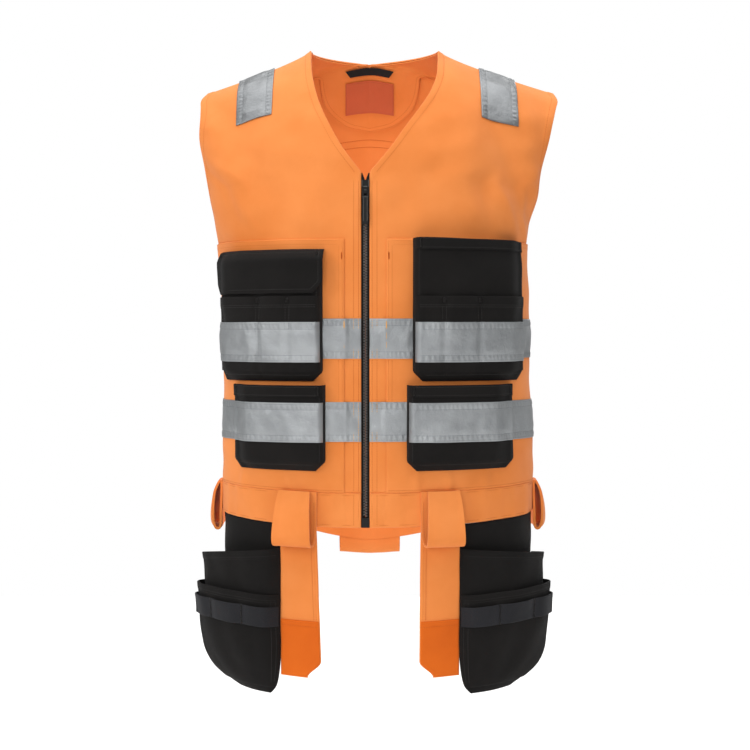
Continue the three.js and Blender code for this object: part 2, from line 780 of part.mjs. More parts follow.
function toManifold(geometry) {
  const bare = geometry.clone();
  bare.deleteAttribute("normal");
  bare.deleteAttribute("uv");
  const merged = mergeVertices(bare, 1e-4);
  const triVerts = new Uint32Array(merged.index.array);
  const vertProperties = new Float32Array(merged.attributes.position.array);
  return new wasm.Manifold(new wasm.Mesh({ numProp: 3, vertProperties, triVerts }));
}

function fromManifold(body) {
  const { vertProperties, triVerts } = body.getMesh();
  const geometry = new THREE.BufferGeometry();
  geometry.setAttribute("position", new THREE.BufferAttribute(vertProperties, 3));
  geometry.setIndex(new THREE.BufferAttribute(triVerts, 1));
  geometry.computeVertexNormals();
  return geometry;
}

// The slider and its puller, drawn round the pivot and then leant against the chest.
function buildSlider() {
  const pivotDown = sliderTop + sliderLength - sliderFoot;
  const surface = zipPoint(0, pivotDown, 0);
  const below = zipPoint(0, pivotDown + sliderLength, 0);
  const group = new THREE.Group();
  group.position.copy(zipPoint(0, pivotDown, pivotHeight));
  group.rotation.x = Math.atan2(below.y - surface.y, surface.z - below.z);
  vest.add(group);

  const half = (zipGap - 4 * gap) / 2;
  const plate = sliderThickness / 2;
  const top = sliderLength - sliderFoot;
  const outline = new THREE.Shape([
    [-half, top], [-half, top * 0.4], [-0.75 * half, -sliderFoot],
    [0.75 * half, -sliderFoot], [half, top * 0.4], [half, top],
  ].map(([x, z]) => new THREE.Vector2(x, z)));
  const body = new THREE.ExtrudeGeometry(outline, { depth: plate, bevelEnabled: false });
  body.rotateX(Math.PI / 2).translate(0, pivotHeight - gap, 0);

  const reach = pivotHole / 2 + crownWall;
  const seat = pivotHeight - gap - plate / 2;
  const profile = new THREE.Shape([
    [-reach, -0.5 * reach], [-0.5 * reach, -reach], [0.5 * reach, -reach], [reach, -0.5 * reach],
    [reach + crownWall, seat], [-reach - crownWall, seat],
  ].map(([z, y]) => new THREE.Vector2(z, y)));
  profile.holes.push(new THREE.Path().absarc(0, 0, pivotHole / 2, 0, 2 * Math.PI, true));
  const crownSettings = { depth: crownWidth, bevelEnabled: false, curveSegments: 5 };
  const crown = new THREE.ExtrudeGeometry(profile, crownSettings);
  crown.rotateY(Math.PI / 2).translate(-crownWidth / 2, 0, 0);
  const slider = new THREE.Mesh(fromManifold(toManifold(body).add(toManifold(crown))), plastic);
  slider.name = "zip_slider";
  group.add(slider);

  const wide = pullerWidth / 2;
  const bar = pivotBar / 2;
  const tag = new THREE.Shape([
    [-wide, -2 * bar], [-wide + bar, bar], [wide - bar, bar], [wide, -2 * bar], [wide, bar - eyeLength],
    [wide - bar, -eyeLength - 2 * bar], [wide - bar, -pullerLength + bar], [wide - 2 * bar, -pullerLength],
    [-wide + 2 * bar, -pullerLength], [-wide + bar, -pullerLength + bar],
    [-wide + bar, -eyeLength - 2 * bar], [-wide, bar - eyeLength],
  ].map(([x, z]) => new THREE.Vector2(x, z)));
  const eye = crownWidth / 2 + crownClearance;
  tag.holes.push(new THREE.Path([
    [-eye, -bar], [-eye, -eyeLength], [eye, -eyeLength], [eye, -bar],
  ].map(([x, z]) => new THREE.Vector2(x, z))));
  const puller = new THREE.ExtrudeGeometry(tag, { depth: pullerThickness, bevelEnabled: false });
  puller.rotateX(Math.PI / 2).translate(0, pullerThickness / 2, 0);
  const mesh = new THREE.Mesh(puller, plastic);
  mesh.name = "zip_puller";
  group.add(mesh);
}

// Distances across a pocket: a gusset at each side and even cells between.
function pocketAcross(from, width, cells) {
  return [0, ...spaced(pocketGusset, width - pocketGusset, cells), width].map((s) => from + s);
}

// How full a pocket is on its lines across: its side towards the zip has a gusset, its outer side lies low.
function fullness(line, last) {
  return line === 0 ? 0 : (outerFullness[last - line] ?? 1);
}

// A patch pocket: a pouch sewn to the front along its sides and bottom and open at the top,
// with a pen layer or a welt, a reflective strip and, on one, a flap over its mouth.
function buildPocket(pocket, shape) {
  const { name, side } = pocket;
  const width = shape.width * pocket.wide;
  const lines = pocketAcross(pocket.from * bodyHalf, width, shape.cells);
  const cut = lines[0] + chamfer;
  const end = lines[lines.length - 1] - chamfer;
  const last = shape.downs.length - 1;
  const squeeze = (s) => cut + ((s - lines[0]) * (end - cut)) / width;
  const across = (down, i) => (i === last ? lines.map(squeeze) : lines);
  const foot = (i) => [0, 0.8][last - i] ?? 1;
  const bulge = (i, j) => pocketBelly * foot(i) * fullness(j, lines.length - 1);
  const pouch = panelSheet("front", side, across, shape.downs, (i, j) => pocketIn + bulge(i, j), cloth);
  addMesh(name, pouch, black);

  const faced = lines.slice(1, -1);
  const onPouch = (downs, thickness, lift, part, material) => {
    const at = (i, j) => pocketIn + bulge(shape.downs.indexOf(downs[i]), j + 1) + cloth + lift(i, j);
    addMesh(`${name}_${part}`, panelSheet("front", side, () => faced, downs, at, thickness), material);
  };
  let stripLift = gap;
  if (shape.penFrom) {
    const downs = shape.downs.filter((down) => down >= shape.penFrom && down < shape.downs[last]);
    const open = (i, j) => gap + (i === 0 && j % 3 !== 0 && j < faced.length - 1 ? penOpening : 0);
    onPouch(downs, overlay, open, "pen_layer", black);
    stripLift += overlay + gap;
  }
  onPouch([shape.strip, shape.strip + bandHeight], bandThickness, () => stripLift, "strip", reflective);
  if (shape.welt) onPouch([shape.downs[0], shape.downs[0] + weltHeight], overlay, () => gap, "welt", black);
}

function buildFlap() {
  const pocket = POCKETS.upperRight;
  const width = upperPocketWidth * pocket.wide;
  const lines = pocketAcross(pocket.from * bodyHalf, width, upperCells);
  const last = lines.length - 1;
  const downs = [flapTop, flapTop + weltHeight - 2, flapTop + 0.75 * flapLength, flapTop + flapLength];
  const across = (down, i) => lines.map((s, j) => {
    const over = i === downs.length - 1 ? flapOverhang - chamfer : flapOverhang;
    if (j === 0) return s - over;
    return j === last ? s + over : s;
  });
  const lying = (j) => pocketIn + pocketBelly * fullness(clamp(j, 1, last - 1), last) + cloth + 2 * gap;
  const inner = (i, j) => (i === 0 ? bandOnPatch : lying(j));
  const flap = panelSheet("front", pocket.side, across, downs, inner, flapThickness);
  addMesh(`${pocket.name}_flap`, flap, black);
}

function buildPockets() {
  const strip = upperBandTop + 3 * overlay;
  const low = [strip, strip + bandHeight, pocketBottom - chamfer, pocketBottom];
  const upper = { width: upperPocketWidth, cells: upperCells, penFrom: penTop, strip };
  buildPocket(POCKETS.upperRight, { ...upper, downs: [flapTop + weltHeight + gap, penTop, ...low] });
  const upperDowns = [patchTop, patchTop + weltHeight, penTop, ...low];
  buildPocket(POCKETS.upperLeft, { ...upper, welt: true, downs: upperDowns });
  buildFlap();
  const downs = [lowerPocketTop, lowerPocketTop + weltHeight, lowerBandTop, lowerBandTop + bandHeight,
    lowerPocketBottom - chamfer, lowerPocketBottom];
  const lower = { width: lowerPocketWidth, cells: lowerCells, welt: true, strip: lowerBandTop, downs };
  buildPocket(POCKETS.lowerRight, lower);
  buildPocket(POCKETS.lowerLeft, lower);
}

// A belt loop: a strap that hangs from the waist seam, turns up at its foot and comes back.
// Each station across it stands on the vest: [panel, side, distance along the cloth, drift].
function buildLoop(name, stations) {
  const frames = stations.map(([panel, side, along, drift]) => {
    const top = place(panel, side, along, waistSeam, 0);
    const hem = place(panel, side, along, frontLength, 0);
    const fall = hem.clone().sub(top).normalize();
    const out = normal(panel, side, along, waistSeam);
    const handed = panel === "front" ? side : -side;
    const turn = fall.clone().cross(out).multiplyScalar(handed).normalize();
    out.addScaledVector(fall, -out.dot(fall)).normalize();
    const seat = top.addScaledVector(out, waistbandThickness + 2 * gap + loopThickness / 2);
    return { seat, fall, out, turn, drift };
  });
  const spine = LOOP.map(({ out, drop }) => new THREE.Vector2(out * loopDepth, drop * loopLength));
  const sides = spine.map((point, i) => {
    const after = spine[Math.min(i + 1, spine.length - 1)];
    const step = after.clone().sub(spine[Math.max(i - 1, 0)]).normalize();
    return new THREE.Vector2(step.y, -step.x);
  });
  const grid = (lift) => spine.map((point, i) => frames.map(({ seat, fall, out, turn, drift }) => seat.clone()
    .addScaledVector(out, point.x + sides[i].x * lift)
    .addScaledVector(fall, point.y + sides[i].y * lift)
    .addScaledVector(turn, (drift * point.y) / loopLength)));
  addMesh(name, sheet(grid(-loopThickness / 2), grid(loopThickness / 2)), orange);
}

function buildLoops() {
  for (const { name, side, from, lean } of FRONT_LOOPS) {
    const middle = from * bodyHalf;
    buildLoop(name, [-0.5, 0, 0.5].map((s) => ["front", side, middle + s * loopWidth, lean * loopWidth]));
  }
  for (const side of [-1, 1]) {
    const front = rowLength("front", side, waistSeam) - loopWidth / 2;
    const back = rowLength("back", side, waistSeam);
    const stations = [
      ["front", side, front, 0], ["back", side, back, 0], ["back", side, back - loopWidth / 2, 0],
    ];
    buildLoop(`side_loop_${sideName(side)}`, stations);
  }
  const reach = backLoopWidth / 2;
  buildLoop("back_loop", [
    ["back", -1, reach, 0], ["back", -1, reach / 2, 0], ["back", 1, 0, 0],
    ["back", 1, reach / 2, 0], ["back", 1, reach, 0],
  ]);
}

// A hanging tool pocket: an orange panel with a patch at its foot, beside a black panel that
// carries a large pocket, a small pocket on that, and webbing with tool loops.
function buildToolPocket({ name, side, orange: from, low, black: middle, full }) {
  const top = frontLength + gap;
  const seam = middle * bodyHalf;
  const foot = frontLength + toolPanelLength;
  const edge = (down) => bodyHalf * (from + ((low - from) * (down - top)) / toolPanelLength);
  const panelLines = (down, inset) => {
    const corner = down > foot - chamfer ? toolChamfer : 0;
    return spaced(edge(down) + corner + inset, seam - gap - inset, 3);
  };
  const cut = foot - toolCutAbove;
  const panelDowns = [top, 0.5 * (top + cut), cut, foot];
  const panelAcross = (down) => panelLines(down, 0);
  const panel = panelSheet("front", side, panelAcross, panelDowns, () => 0, cloth);
  addMesh(`${name}_front_panel`, panel, orange);
  const footDowns = [foot - toolPatchLength, cut, foot - overlay];
  const footAcross = (down) => panelLines(down, overlay);
  const patch = panelSheet("front", side, footAcross, footDowns, () => patchIn, overlay);
  addMesh(`${name}_front_patch`, patch, orange);

  const end = rowLength("front", side, frontLength) - toolPocketHipGap;
  const width = end - seam;
  const across = (down) => {
    const share = (down - frontLength) / toolPocketBottom;
    const left = seam + width * read(TOOL_OUTLINE, "from", share);
    const right = seam + width * read(TOOL_OUTLINE, "to", share);
    return TOOL_ACROSS.map(({ at }) => left + (right - left) * at);
  };
  const rows = (shares) => shares.map((share) => frontLength + share * toolPocketBottom);
  const shape = rows([0.55, 0.78, 0.89, 0.96, 1]);
  const back = panelSheet("front", side, across, [top, ...shape], () => 0, cloth);
  addMesh(`${name}_back_panel`, back, black);

  const belly = (down, j) => {
    const share = (down - frontLength) / toolPocketBottom;
    const row = TOOL_ACROSS[j];
    return toolPocketBelly * full * row.out * read(TOOL_BELLY, "out", share);
  };
  const mouth = frontLength + toolPocketDrop;
  const second = frontLength + smallPocketDrop;
  const strap = frontLength + webbingDrop;
  const largeIn = cloth + looseGap;
  const largeDowns = [mouth, 0.5 * (mouth + second), second, strap, strap + webbingWidth, ...shape.slice(1)];
  const largeAt = (i, j) => largeIn + belly(largeDowns[i], j);
  addMesh(name, panelSheet("front", side, across, largeDowns, largeAt, cloth), black);

  const smallDowns = largeDowns.slice(2, -1);
  const lip = (i, j) => smallOpening * SMALL_LIP[i] * TOOL_ACROSS[j].out;
  const smallAt = (i, j) => largeIn + belly(smallDowns[i], j) + cloth + looseGap + lip(i, j);
  addMesh(`${name}_small`, panelSheet("front", side, across, smallDowns, smallAt, cloth), black);

  const strapDowns = [strap, strap + webbingWidth];
  const strapIn = largeIn + 2 * cloth + 2 * looseGap;
  const slack = (i, j) => lip(i + 1, j) + (j % 2) * webbingSlack;
  const strapAt = (i, j) => strapIn + belly(strapDowns[i], j) + slack(i, j);
  addMesh(`${name}_webbing`, panelSheet("front", side, across, strapDowns, strapAt, overlay), webbing);
}

buildPanels();
buildWaistband();
buildBand("band_upper", upperBandTop);
buildBand("band_lower", lowerBandTop);
buildShoulderPatch(-1, shoulderPatchFrom.right);
buildShoulderPatch(1, shoulderPatchFrom.left);
buildFacing();
const hangerDowns = [hangerTop, hangerTop + hangerHeight];
innerPiece("hanger_tape", hangerWidth / 2, hangerDowns, hangerHeight, hangerLift, tape);
innerPiece("size_label", labelWidth / 2, spaced(labelTop, labelTop + labelHeight, 2), 0, labelLift, label);
buildZip();
buildSlider();
buildPockets();
buildLoops();
TOOL_POCKETS.forEach(buildToolPocket);

export default vest;
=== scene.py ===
"""Looks of the utility work vest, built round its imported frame.

Lengths are in millimetres until a mesh is made, then in metres. Right and left are the wearer's.
A place on the vest is given as a panel, a side, a distance along the cloth and a distance down.
"""
import math
import bpy
import numpy as np
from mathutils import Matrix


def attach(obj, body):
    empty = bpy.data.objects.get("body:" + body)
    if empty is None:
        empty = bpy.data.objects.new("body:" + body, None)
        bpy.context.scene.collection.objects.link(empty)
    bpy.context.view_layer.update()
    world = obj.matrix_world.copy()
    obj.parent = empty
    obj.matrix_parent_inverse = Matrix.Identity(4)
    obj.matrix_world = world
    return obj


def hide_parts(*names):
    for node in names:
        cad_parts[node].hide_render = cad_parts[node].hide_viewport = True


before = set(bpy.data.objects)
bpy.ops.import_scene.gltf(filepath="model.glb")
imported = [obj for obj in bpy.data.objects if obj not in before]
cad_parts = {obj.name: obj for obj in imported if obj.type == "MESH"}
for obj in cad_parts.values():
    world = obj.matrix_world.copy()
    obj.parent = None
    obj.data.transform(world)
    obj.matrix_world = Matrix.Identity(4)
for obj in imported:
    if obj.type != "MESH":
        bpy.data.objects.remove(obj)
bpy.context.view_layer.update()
MM = 0.001
SIDE_NAME = {-1: "right", 1: "left"}

# Sizes shared with the frame, in millimetres.
FRONT_LENGTH, BACK_LENGTH, HEM_RISE = 617.0, 663.0, 11.0
BODY_HALF, SHOULDER_HALF, SHOULDER_DROP = 201.0, 234.0, 56.0
CHEST_FRONT, CHEST_BACK = 136.0, 130.0
NECK_HALF, NECK_DEPTH, BACK_NECK_DEPTH, BACK_NECK_DROP = 83.4, 177.0, 80.0, 5.0
BACK_NECK_SHIFT = 0.66
ARMHOLE_DEPTH, ARMHOLE_REACH, BODY_LEAN = 256.0, 44.0, 6.0
YOKE_DEPTH, BACK_NECK_ROW = 150.0, 75.0
WAISTBAND_HEIGHT, WAISTBAND_THICK = 43.6, 3.0
WAIST_SEAM = FRONT_LENGTH - WAISTBAND_HEIGHT
CLOTH, OVERLAY, GAP, LOOSE_GAP, INNER_GAP = 1.5, 1.2, 0.3, 0.6, 1.2
BAND_HEIGHT, BAND_THICK, UPPER_BAND, LOWER_BAND = 50.0, 1.0, 354.4, 458.8
RISE_FROM = LOWER_BAND + BAND_HEIGHT
PATCH_TOP, PATCH_INSET = 255.0, 21.0
PATCH_IN = CLOTH + GAP
PATCH_OUT = PATCH_IN + OVERLAY
BAND_ON_CLOTH = CLOTH + GAP
BAND_ON_PATCH = PATCH_OUT + GAP
POCKET_IN = BAND_ON_PATCH + BAND_THICK + LOOSE_GAP
SHOULDER_WIDTH, SHOULDER_LENGTH = 50.0, 80.0
SHOULDER_FROM = {-1: 54.0, 1: 59.0}
ZIP_GAP, ZIP_SHIFT = 10.5, -13.7
TAPE_THICK, CHAIN_WIDTH = 1.0, 5.0
SLIDER_TOP, SLIDER_LENGTH, SLIDER_FOOT = 181.0, 20.0, 4.0
PIVOT_HEIGHT, PULLER_LENGTH, PULLER_WIDTH, PULLER_THICK, SLIDER_THICK = 4.6, 42.0, 9.0, 1.6, 4.0
PIVOT, PIVOT_LEAN = (-13.70, -129.13, -196.00), -0.19361
ZIP_BOX = 12.0
POCKET_BELLY, GUSSET, CHAMFER, WELT, OUTER_FULLNESS = 12.0, 8.0, 12.0, 15.0, 0.3
POCKET_BOTTOM, PEN_TOP, LOW_TOP, LOW_BOTTOM = 432.5, 326.0, 437.0, 546.0
FLAP_TOP, FLAP_LENGTH, FLAP_THICK = 268.0, 55.0, 2.0
LOOP_LENGTH, LOOP_WIDTH, LOOP_DEPTH, LOOP_THICK, BACK_LOOP = 68.0, 46.0, 20.0, 2.4, 84.0
TOOL_PANEL, TOOL_BOTTOM, TOOL_DROP, SMALL_DROP = 192.0, 217.0, 31.0, 90.0
TOOL_BELLY_DEPTH, TOOL_HIP_GAP, TOOL_PATCH = 25.0, 16.0, 72.0
WEBBING_WIDTH, WEBBING_DROP, WEBBING_SLACK, SMALL_OPENING = 25.0, 105.0, 3.0, 7.0
TOOL_CHAMFER, TOOL_CUT = 18.0, 21.6
UPPER_CELLS, LOWER_CELLS = 10, 9

# Tables shared with the frame: each column is a list read along the first one.
NECKLINE = {
    "down": [0, 0.12, 0.23, 0.36, 0.47, 0.63, 0.79, 1],
    "half": [1, 0.985, 0.957, 0.874, 0.765, 0.566, 0.351, 0],
    "shift": [0.15, 0.16, 0.17, 0.3, 0.51, 0.77, 0.91, 1],
}
ARMHOLE = {
    "down": [0, 0.06, 0.12, 0.21, 0.345, 0.5, 0.67, 0.83, 1],
    "out": [0.82, 1, 0.93, 0.83, 0.7, 0.5, 0.31, 0.13, 0],
    "front": [0.07, -0.32, -0.64, -0.91, -1, -0.955, -0.8, -0.5, 0],
    "back": [0.07, 0.3, 0.5, 0.75, 1, 1.1, 1, 0.65, 0],
}
TORSO = {
    "down": [0, 0.036, 0.081, 0.135, 0.18, 0.227, 0.287, 0.345, 0.415, 0.486, 0.574, 0.655, 0.744,
             0.825, 0.93, 1, 1.4],
    "half": [1, 1, 1, 1, 1, 1, 1, 1, 1, 0.995, 0.992, 0.99, 0.995, 1.003, 1.005, 1.005, 0.99],
    "front": [0, 0.235, 0.426, 0.603, 0.72, 0.81, 0.882, 0.94, 0.985, 1, 0.993, 0.97, 0.949, 0.934,
              0.934, 0.949, 0.95],
    "lean": [1, 0.6, 0.25, -0.2, -0.5, -0.7, -0.82, -0.85, -0.8, -0.4, -0.1, 0, 0.2, 0.33, 0.4, 0.4,
             0.4],
    "round": [1, 1.05, 1.1, 1.25, 1.45, 1.7, 1.95, 2.15, 2.3, 2.4, 2.4, 2.4, 2.4, 2.4, 2.4, 2.4, 2.4],
}
BACK = {
    "down": [0, 0.07, 0.15, 0.27, 0.38, 0.53, 0.69, 0.79, 0.93, 1, 1.2],
    "depth": [0.615, 0.77, 0.88, 0.98, 1, 0.94, 0.845, 0.81, 0.9, 0.955, 0.98],
    "round": [1.5, 1.6, 1.8, 2.1, 2.3, 2.4, 2.4, 2.4, 2.4, 2.4, 2.4],
}
FACING = {
    "turn": [0, 0.25, 0.5, 0.75, 1],
    "top": [0.5, 0.4, 0.28, 0.14, 0],
    "low": [0.92, 0.86, 0.68, 0.36, 0],
    "across": [0, 0.42, 0.78, 0.86, 0.72],
}
LOOP = {
    "step": [0, 1, 2, 3, 4, 5, 6, 7, 8, 9, 10],
    "out": [0, 0, 0.02, 0.18, 0.48, 0.8, 0.95, 0.84, 0.58, 0.24, 0.16],
    "drop": [0, 0.42, 0.8, 0.96, 1, 0.97, 0.84, 0.55, 0.26, 0.05, 0],
}
TOOL_OUTLINE = {
    "down": [0, 0.55, 0.78, 0.89, 0.96, 1],
    "from": [0, 0, 0, 0.02, 0.05, 0.1],
    "to": [1, 1, 0.97, 0.86, 0.68, 0.5],
}
TOOL_ACROSS = {
    "at": [0, 0.08, 0.22, 0.37, 0.52, 0.66, 0.79, 0.92, 1],
    "out": [0, 0.4, 0.55, 0.66, 0.78, 0.9, 1, 0.95, 0],
}
TOOL_BELLY = {
    "down": [0, 0.14, 0.3, 0.55, 0.78, 0.89, 0.96, 1],
    "out": [1.1, 1.1, 1, 0.95, 0.85, 0.6, 0.3, 0],
}
SMALL_LIP = {"step": [90, 105, 130, 169.3, 193.1, 208.3], "out": [1, 1, 0.9, 0.7, 0.4, 0]}

# Sizes of the visual model alone, in millimetres: the mesh's steps, from the finest to the coarsest.
TAPE_STEP, TAPE_ROW_STEP, FINE_STEP, CLOSE_STEP, MIDDLE_STEP, GRID = 1.3, 1.7, 2.0, 2.6, 2.8, 3.4
# The row lengths on which steps across are shared out: front, back, band, and a tool pocket's panel.
FRONT_ROW, BACK_ROW, BAND_ROW, PANEL_ROW = 250.0, 260.0, 270.0, 52.0
# A panel's table: points measured along a row, shares kept, the distance between rows and the last row.
ROW_STEPS, SHARES, DOWN_STEP, LAST_ROW = 160, 260, 1.0, 860.0
# An edge's first step, the nearest place past it in such steps, its share of the thickness, and the seams'
# blend and lap.
EDGE_STEP, CLOSEST, EDGE_SHARE, SEAM_BLEND, SEAM_LAP = 0.9, 1.6, 0.6, 12.0, 0.1
SHOULDER_STEP, SHOULDER_BACK = 1.4, 75.0
SHOULDER_END_ROWS = (SHOULDER_LENGTH - 2.2, SHOULDER_LENGTH - 7.0)
FOLD_HEAD, FOLD_FOOT = 0.4, 0.16
LEVEL_AT = dict(inner_front=16.0, inner_back=10.0, outer=18.0, top=14.0)

# Slow waves of the cloth and how they drift, the waistband's gathers, and the relief of reflective tape.
PHASE, DRIFT, DRIFT_LENGTH = {"front": 0.7, "back": 2.1}, 18.0, 61.0
WAVE = dict(height=0.5, across=13.0, down=47.0)
SLANT = dict(height=0.35, lean=0.6, along=9.5, across=38.0)
GATHERS = [
    dict(height=0.3, length=1.9, wander=1.3, slow=17.0, reach=7.0),
    dict(height=0.45, length=5.1, wander=2.1, slow=29.0, reach=16.0),
]
WAIST_GROOVE = dict(row=3.2, wide=0.8, deep=0.35)
TAPE_RIPPLE = dict(height=0.42, length=6.1, row=5.4, wide=2.5)
TAPE_FOLD = dict(height=0.62, start=8.0, blend=9.0)
TAPE_GROOVE, TAPE_END_GROOVE, TAPE_GROOVE_WIDE = 0.3, 0.28, 0.7
SIDE_RISE, SIDE_RISE_FROM, SIDE_RISE_OVER = 1.5, 235.0, 25.0

# One stitch and one bartack.
THREAD_TIP, THREAD_SUNK, STITCH_START, STITCH_PLACES, FEWEST_PLACES = 0.22, 0.4, 0.14, 3.0, 8
TACK_PITCH, TACK_SLANT, TACK_THREAD = 0.55, 0.25, dict(width=0.6, height=0.8)

# Rows of stitches: how far each lies in from its edge or seam, and how far it stands out of the cloth.
HEM_ROW, HEM_LIFT, FAR_FROM_EDGE = 8.6, 0.35, 99.0
ZIP_ROWS, TAPE_ROWS = (3.3, 9.3), (2.2, 8.6, BAND_HEIGHT - 8.6, BAND_HEIGHT - 2.2)
NECK_STITCHES = {"front": (4.0, NECK_DEPTH - 6), "back": (4.0, BACK_NECK_ROW - 8)}
ARM_STITCHES = (3.0, ARMHOLE_DEPTH - 4)
WAIST_ROWS = [
    (WAIST_SEAM - 3.0, CLOTH + 0.1),
    (WAIST_SEAM + 3.2, WAISTBAND_THICK - 0.2),
    (FRONT_LENGTH - 3.2, WAISTBAND_THICK - 0.2),
]
PATCH_SIDE_ROWS = [(2.4, PATCH_OUT + 0.5), (7.0, PATCH_OUT + 0.3)]
PATCH_TOP_ROWS = [(2.4, PATCH_OUT + 0.45), (7.2, PATCH_OUT + 0.2)]
SLIT_LENGTH, SLIT_THREAD = 38.0, dict(cover=0.98, width=1.3, height=1.1)
FLAT_TACK = dict(length=8.0, width=2.4)
YOKE_ROWS_IN, YOKE_ROWS_OUT = (-4.5, 2.5), (-4.5, 4.0)

# Turned hems: each rises over its reach and ends over its blend, with a groove under its stitches.
HEMS = {
    "body": dict(rise=0.7, reach=10.5, blend=2.5, row=8.6, wide=0.9, deep=0.3),
    "flap": dict(rise=0.3, reach=5.0, blend=2.0, row=5.0, wide=1.0, deep=0.4),
    "loop": dict(rise=0.35, reach=7.0, blend=1.5, row=6.0, wide=0.8, deep=0.3),
    "tool_panel": dict(rise=0.5, reach=7.5, blend=2.0, row=6.0, wide=0.8, deep=0.3),
    "tool_patch": dict(rise=0.5, reach=7.0, blend=2.0, row=5.5, wide=0.8, deep=0.3),
    "large_mouth": dict(rise=0.7, reach=13.0, blend=2.0, row=11.0, wide=0.8, deep=0.3),
    "small_mouth": dict(rise=0.6, reach=11.0, blend=2.0, row=9.0, wide=0.8, deep=0.3),
}
HEM_BLEND = 2.0
PATCH_HEM = dict(reach=8.0, side=0.55, top=0.5, most=0.6, clear=4.0)
WELT_HEM = dict(reach=3.0, rise=0.3, blend=1.5)
PEN_HEM = dict(reach=14.0, rise=0.6)
POUCH_HEM = dict(reach=13.0, rise=0.5, edge=0.4, wide=0.9)

# Loops: length and depth of the side loops, length of the back loop, and how far each kind sags.
SIDE_LOOP_LENGTH, SIDE_LOOP_DEPTH, BACK_LOOP_LENGTH = 63.0, 14.0, 81.0
FRONT_SAG, SIDE_SAG, BACK_SAG, FRONT_TWIST = 1.6, 3.8, 1.4, 5.0
FRONT_LOOPS = {"front_loop_right": (-1, 0.413), "front_loop_left": (1, 0.458)}

# Inside the back neck: half width, top and foot down the back, taper, and lift off the cloth.
INNER_PIECES = {
    "hanger_tape": dict(half=34.5, top=75.8, foot=82.8, taper=7.0, lift=5.5, step=1.2, edge=0.4,
                        slot="black_tape"),
    "size_label": dict(half=34.0, top=88.0, foot=119.0, taper=0.0, lift=4.4, step=2.0, edge=0.6,
                       slot="label_tape"),
}
INNER_THICK = 0.85
LABEL_STITCHES = dict(half=32.5, rows=(89.6, 117.4), out=-4.5, pitch=2.4)
FACING_HEM = dict(rise=0.5, start=0.9, blend=0.03, rows=(0.93, 0.975))

# Zip: its tape's section from the teeth outwards, one tooth's block, and the slider's pale edges, which are
# painted highlights.
ZIP_SECTION = {
    "across": [-2.75, -1.4, 0.0, 0.6, 1.6, 2.4, 3.2, 6.0, 8.6, 9.3],
    "rise": [0.05, 0.05, 0.2, 0.5, 0.5, 0.2, 0.0, 0.0, 0.0, -0.1],
}
ZIP_STEP, ZIP_OPEN, ZIP_OPEN_RISE, ZIP_OPEN_OVER = 5.0, 3.4, 1.2, 8.0
TOOTH_PITCH, TOOTH_OUT, TOOTH_CLEAR, TOOTH_HALF = 3.4, 1.3, 1.2, (1.25, 1.15)
TOOTH_RINGS = [(1.0, -0.3), (1.0, 1.0), (0.7, 1.6)]
RIB = dict(across=0.52, half=0.3, top=-7.5, foot=4.0, proud=0.35, sunk=0.2)
CROSS_RIB = dict(across=0.8, top=-6.5, foot=-7.2, proud=0.3)
SLIDER_EDGE = dict(half=0.45, foot=0.45, proud=0.5, sunk=0.3)
SLIDER_BAR = dict(across=0.55, foot=0.42, top=0.5)

# Patch pockets: side, start across as a share of the body's half width, width, and stitched divisions.
POCKETS = {
    "upper_right_pocket": dict(side=-1, start=0.236, width=157.0, splits=[87.0, 124.0]),
    "upper_left_pocket": dict(side=1, start=0.267, width=157.0, splits=[89.0, 133.0]),
    "lower_right_pocket": dict(side=-1, start=0.22, width=127.84, splits=[]),
    "lower_left_pocket": dict(side=1, start=0.231, width=142.8, splits=[]),
}
GUSSET_STEPS = [0.0, 0.08, 0.25, 0.45, 0.65, 0.85, 1.0]
FACE_FULLNESS, FACE_RIPPLE, CUT_FULLNESS = 1.6, 0.5, 0.82
SPLIT_DEPTH, SPLIT_WIDE, SPLIT_OFFSET = 1.7, 4.5, 2.2
GAPE, GAPE_LENGTH, GAPE_WIDTH = 2.6, 26.0, 13.0
PEN_ROWS, PEN_ROW_LIFT, WELT_ROWS = (11.0, 13.5), 1.9, (2.0, WELT - 2.4)
FLAP_OVERLAP, FLAP_ROUND, FLAP_LOW, FLAP_ROW = 2.0, 1.9, 0.75, 5.0
FACE_EDGE, LAYER_EDGE, GAPE_EDGE = 0.5 * GUSSET + 2.2, 0.24 * GUSSET, 0.4 * GUSSET
SPLIT_TACK, WELT_TACK = dict(length=6.0, width=4.6), dict(length=11.0, width=2.4)
WEBBING_TACK, LOOP_TACK = dict(length=7.5, width=2.4), 3.2

# Tool pockets: side, the orange panel's edge at its top and foot, the black cloth's edge, and fullness.
TOOL_POCKETS = {
    "right_tool_pocket": dict(side=-1, orange=0.28, low=0.247, black=0.517, full=1.0),
    "left_tool_pocket": dict(side=1, orange=0.32, low=0.31, black=0.572, full=0.62),
}
MOUTH_SLOPE, SMALL_FOOT, TOOL_RIPPLE, TACK_REACH = 24.0, 0.96, 0.8, 0.09
TACKS = np.array([0.0, 0.3, 0.62, 0.93, 1.0])
TACK_ROWS = (3.5, WEBBING_WIDTH - 3.5, WEBBING_WIDTH / 2)
TOOL_PATCH_ROWS, TOOL_EDGE_ROWS, TOOL_SIDE_SHARES = (2.5, 7.0), (4.0, 7.5), (0.02, 0.05)
MOUTH_ROWS, SMALL_ROWS = [(8.5, 0.6), (11.5, 0.2)], [(6.5, 0.5), (9.5, 0.2)]

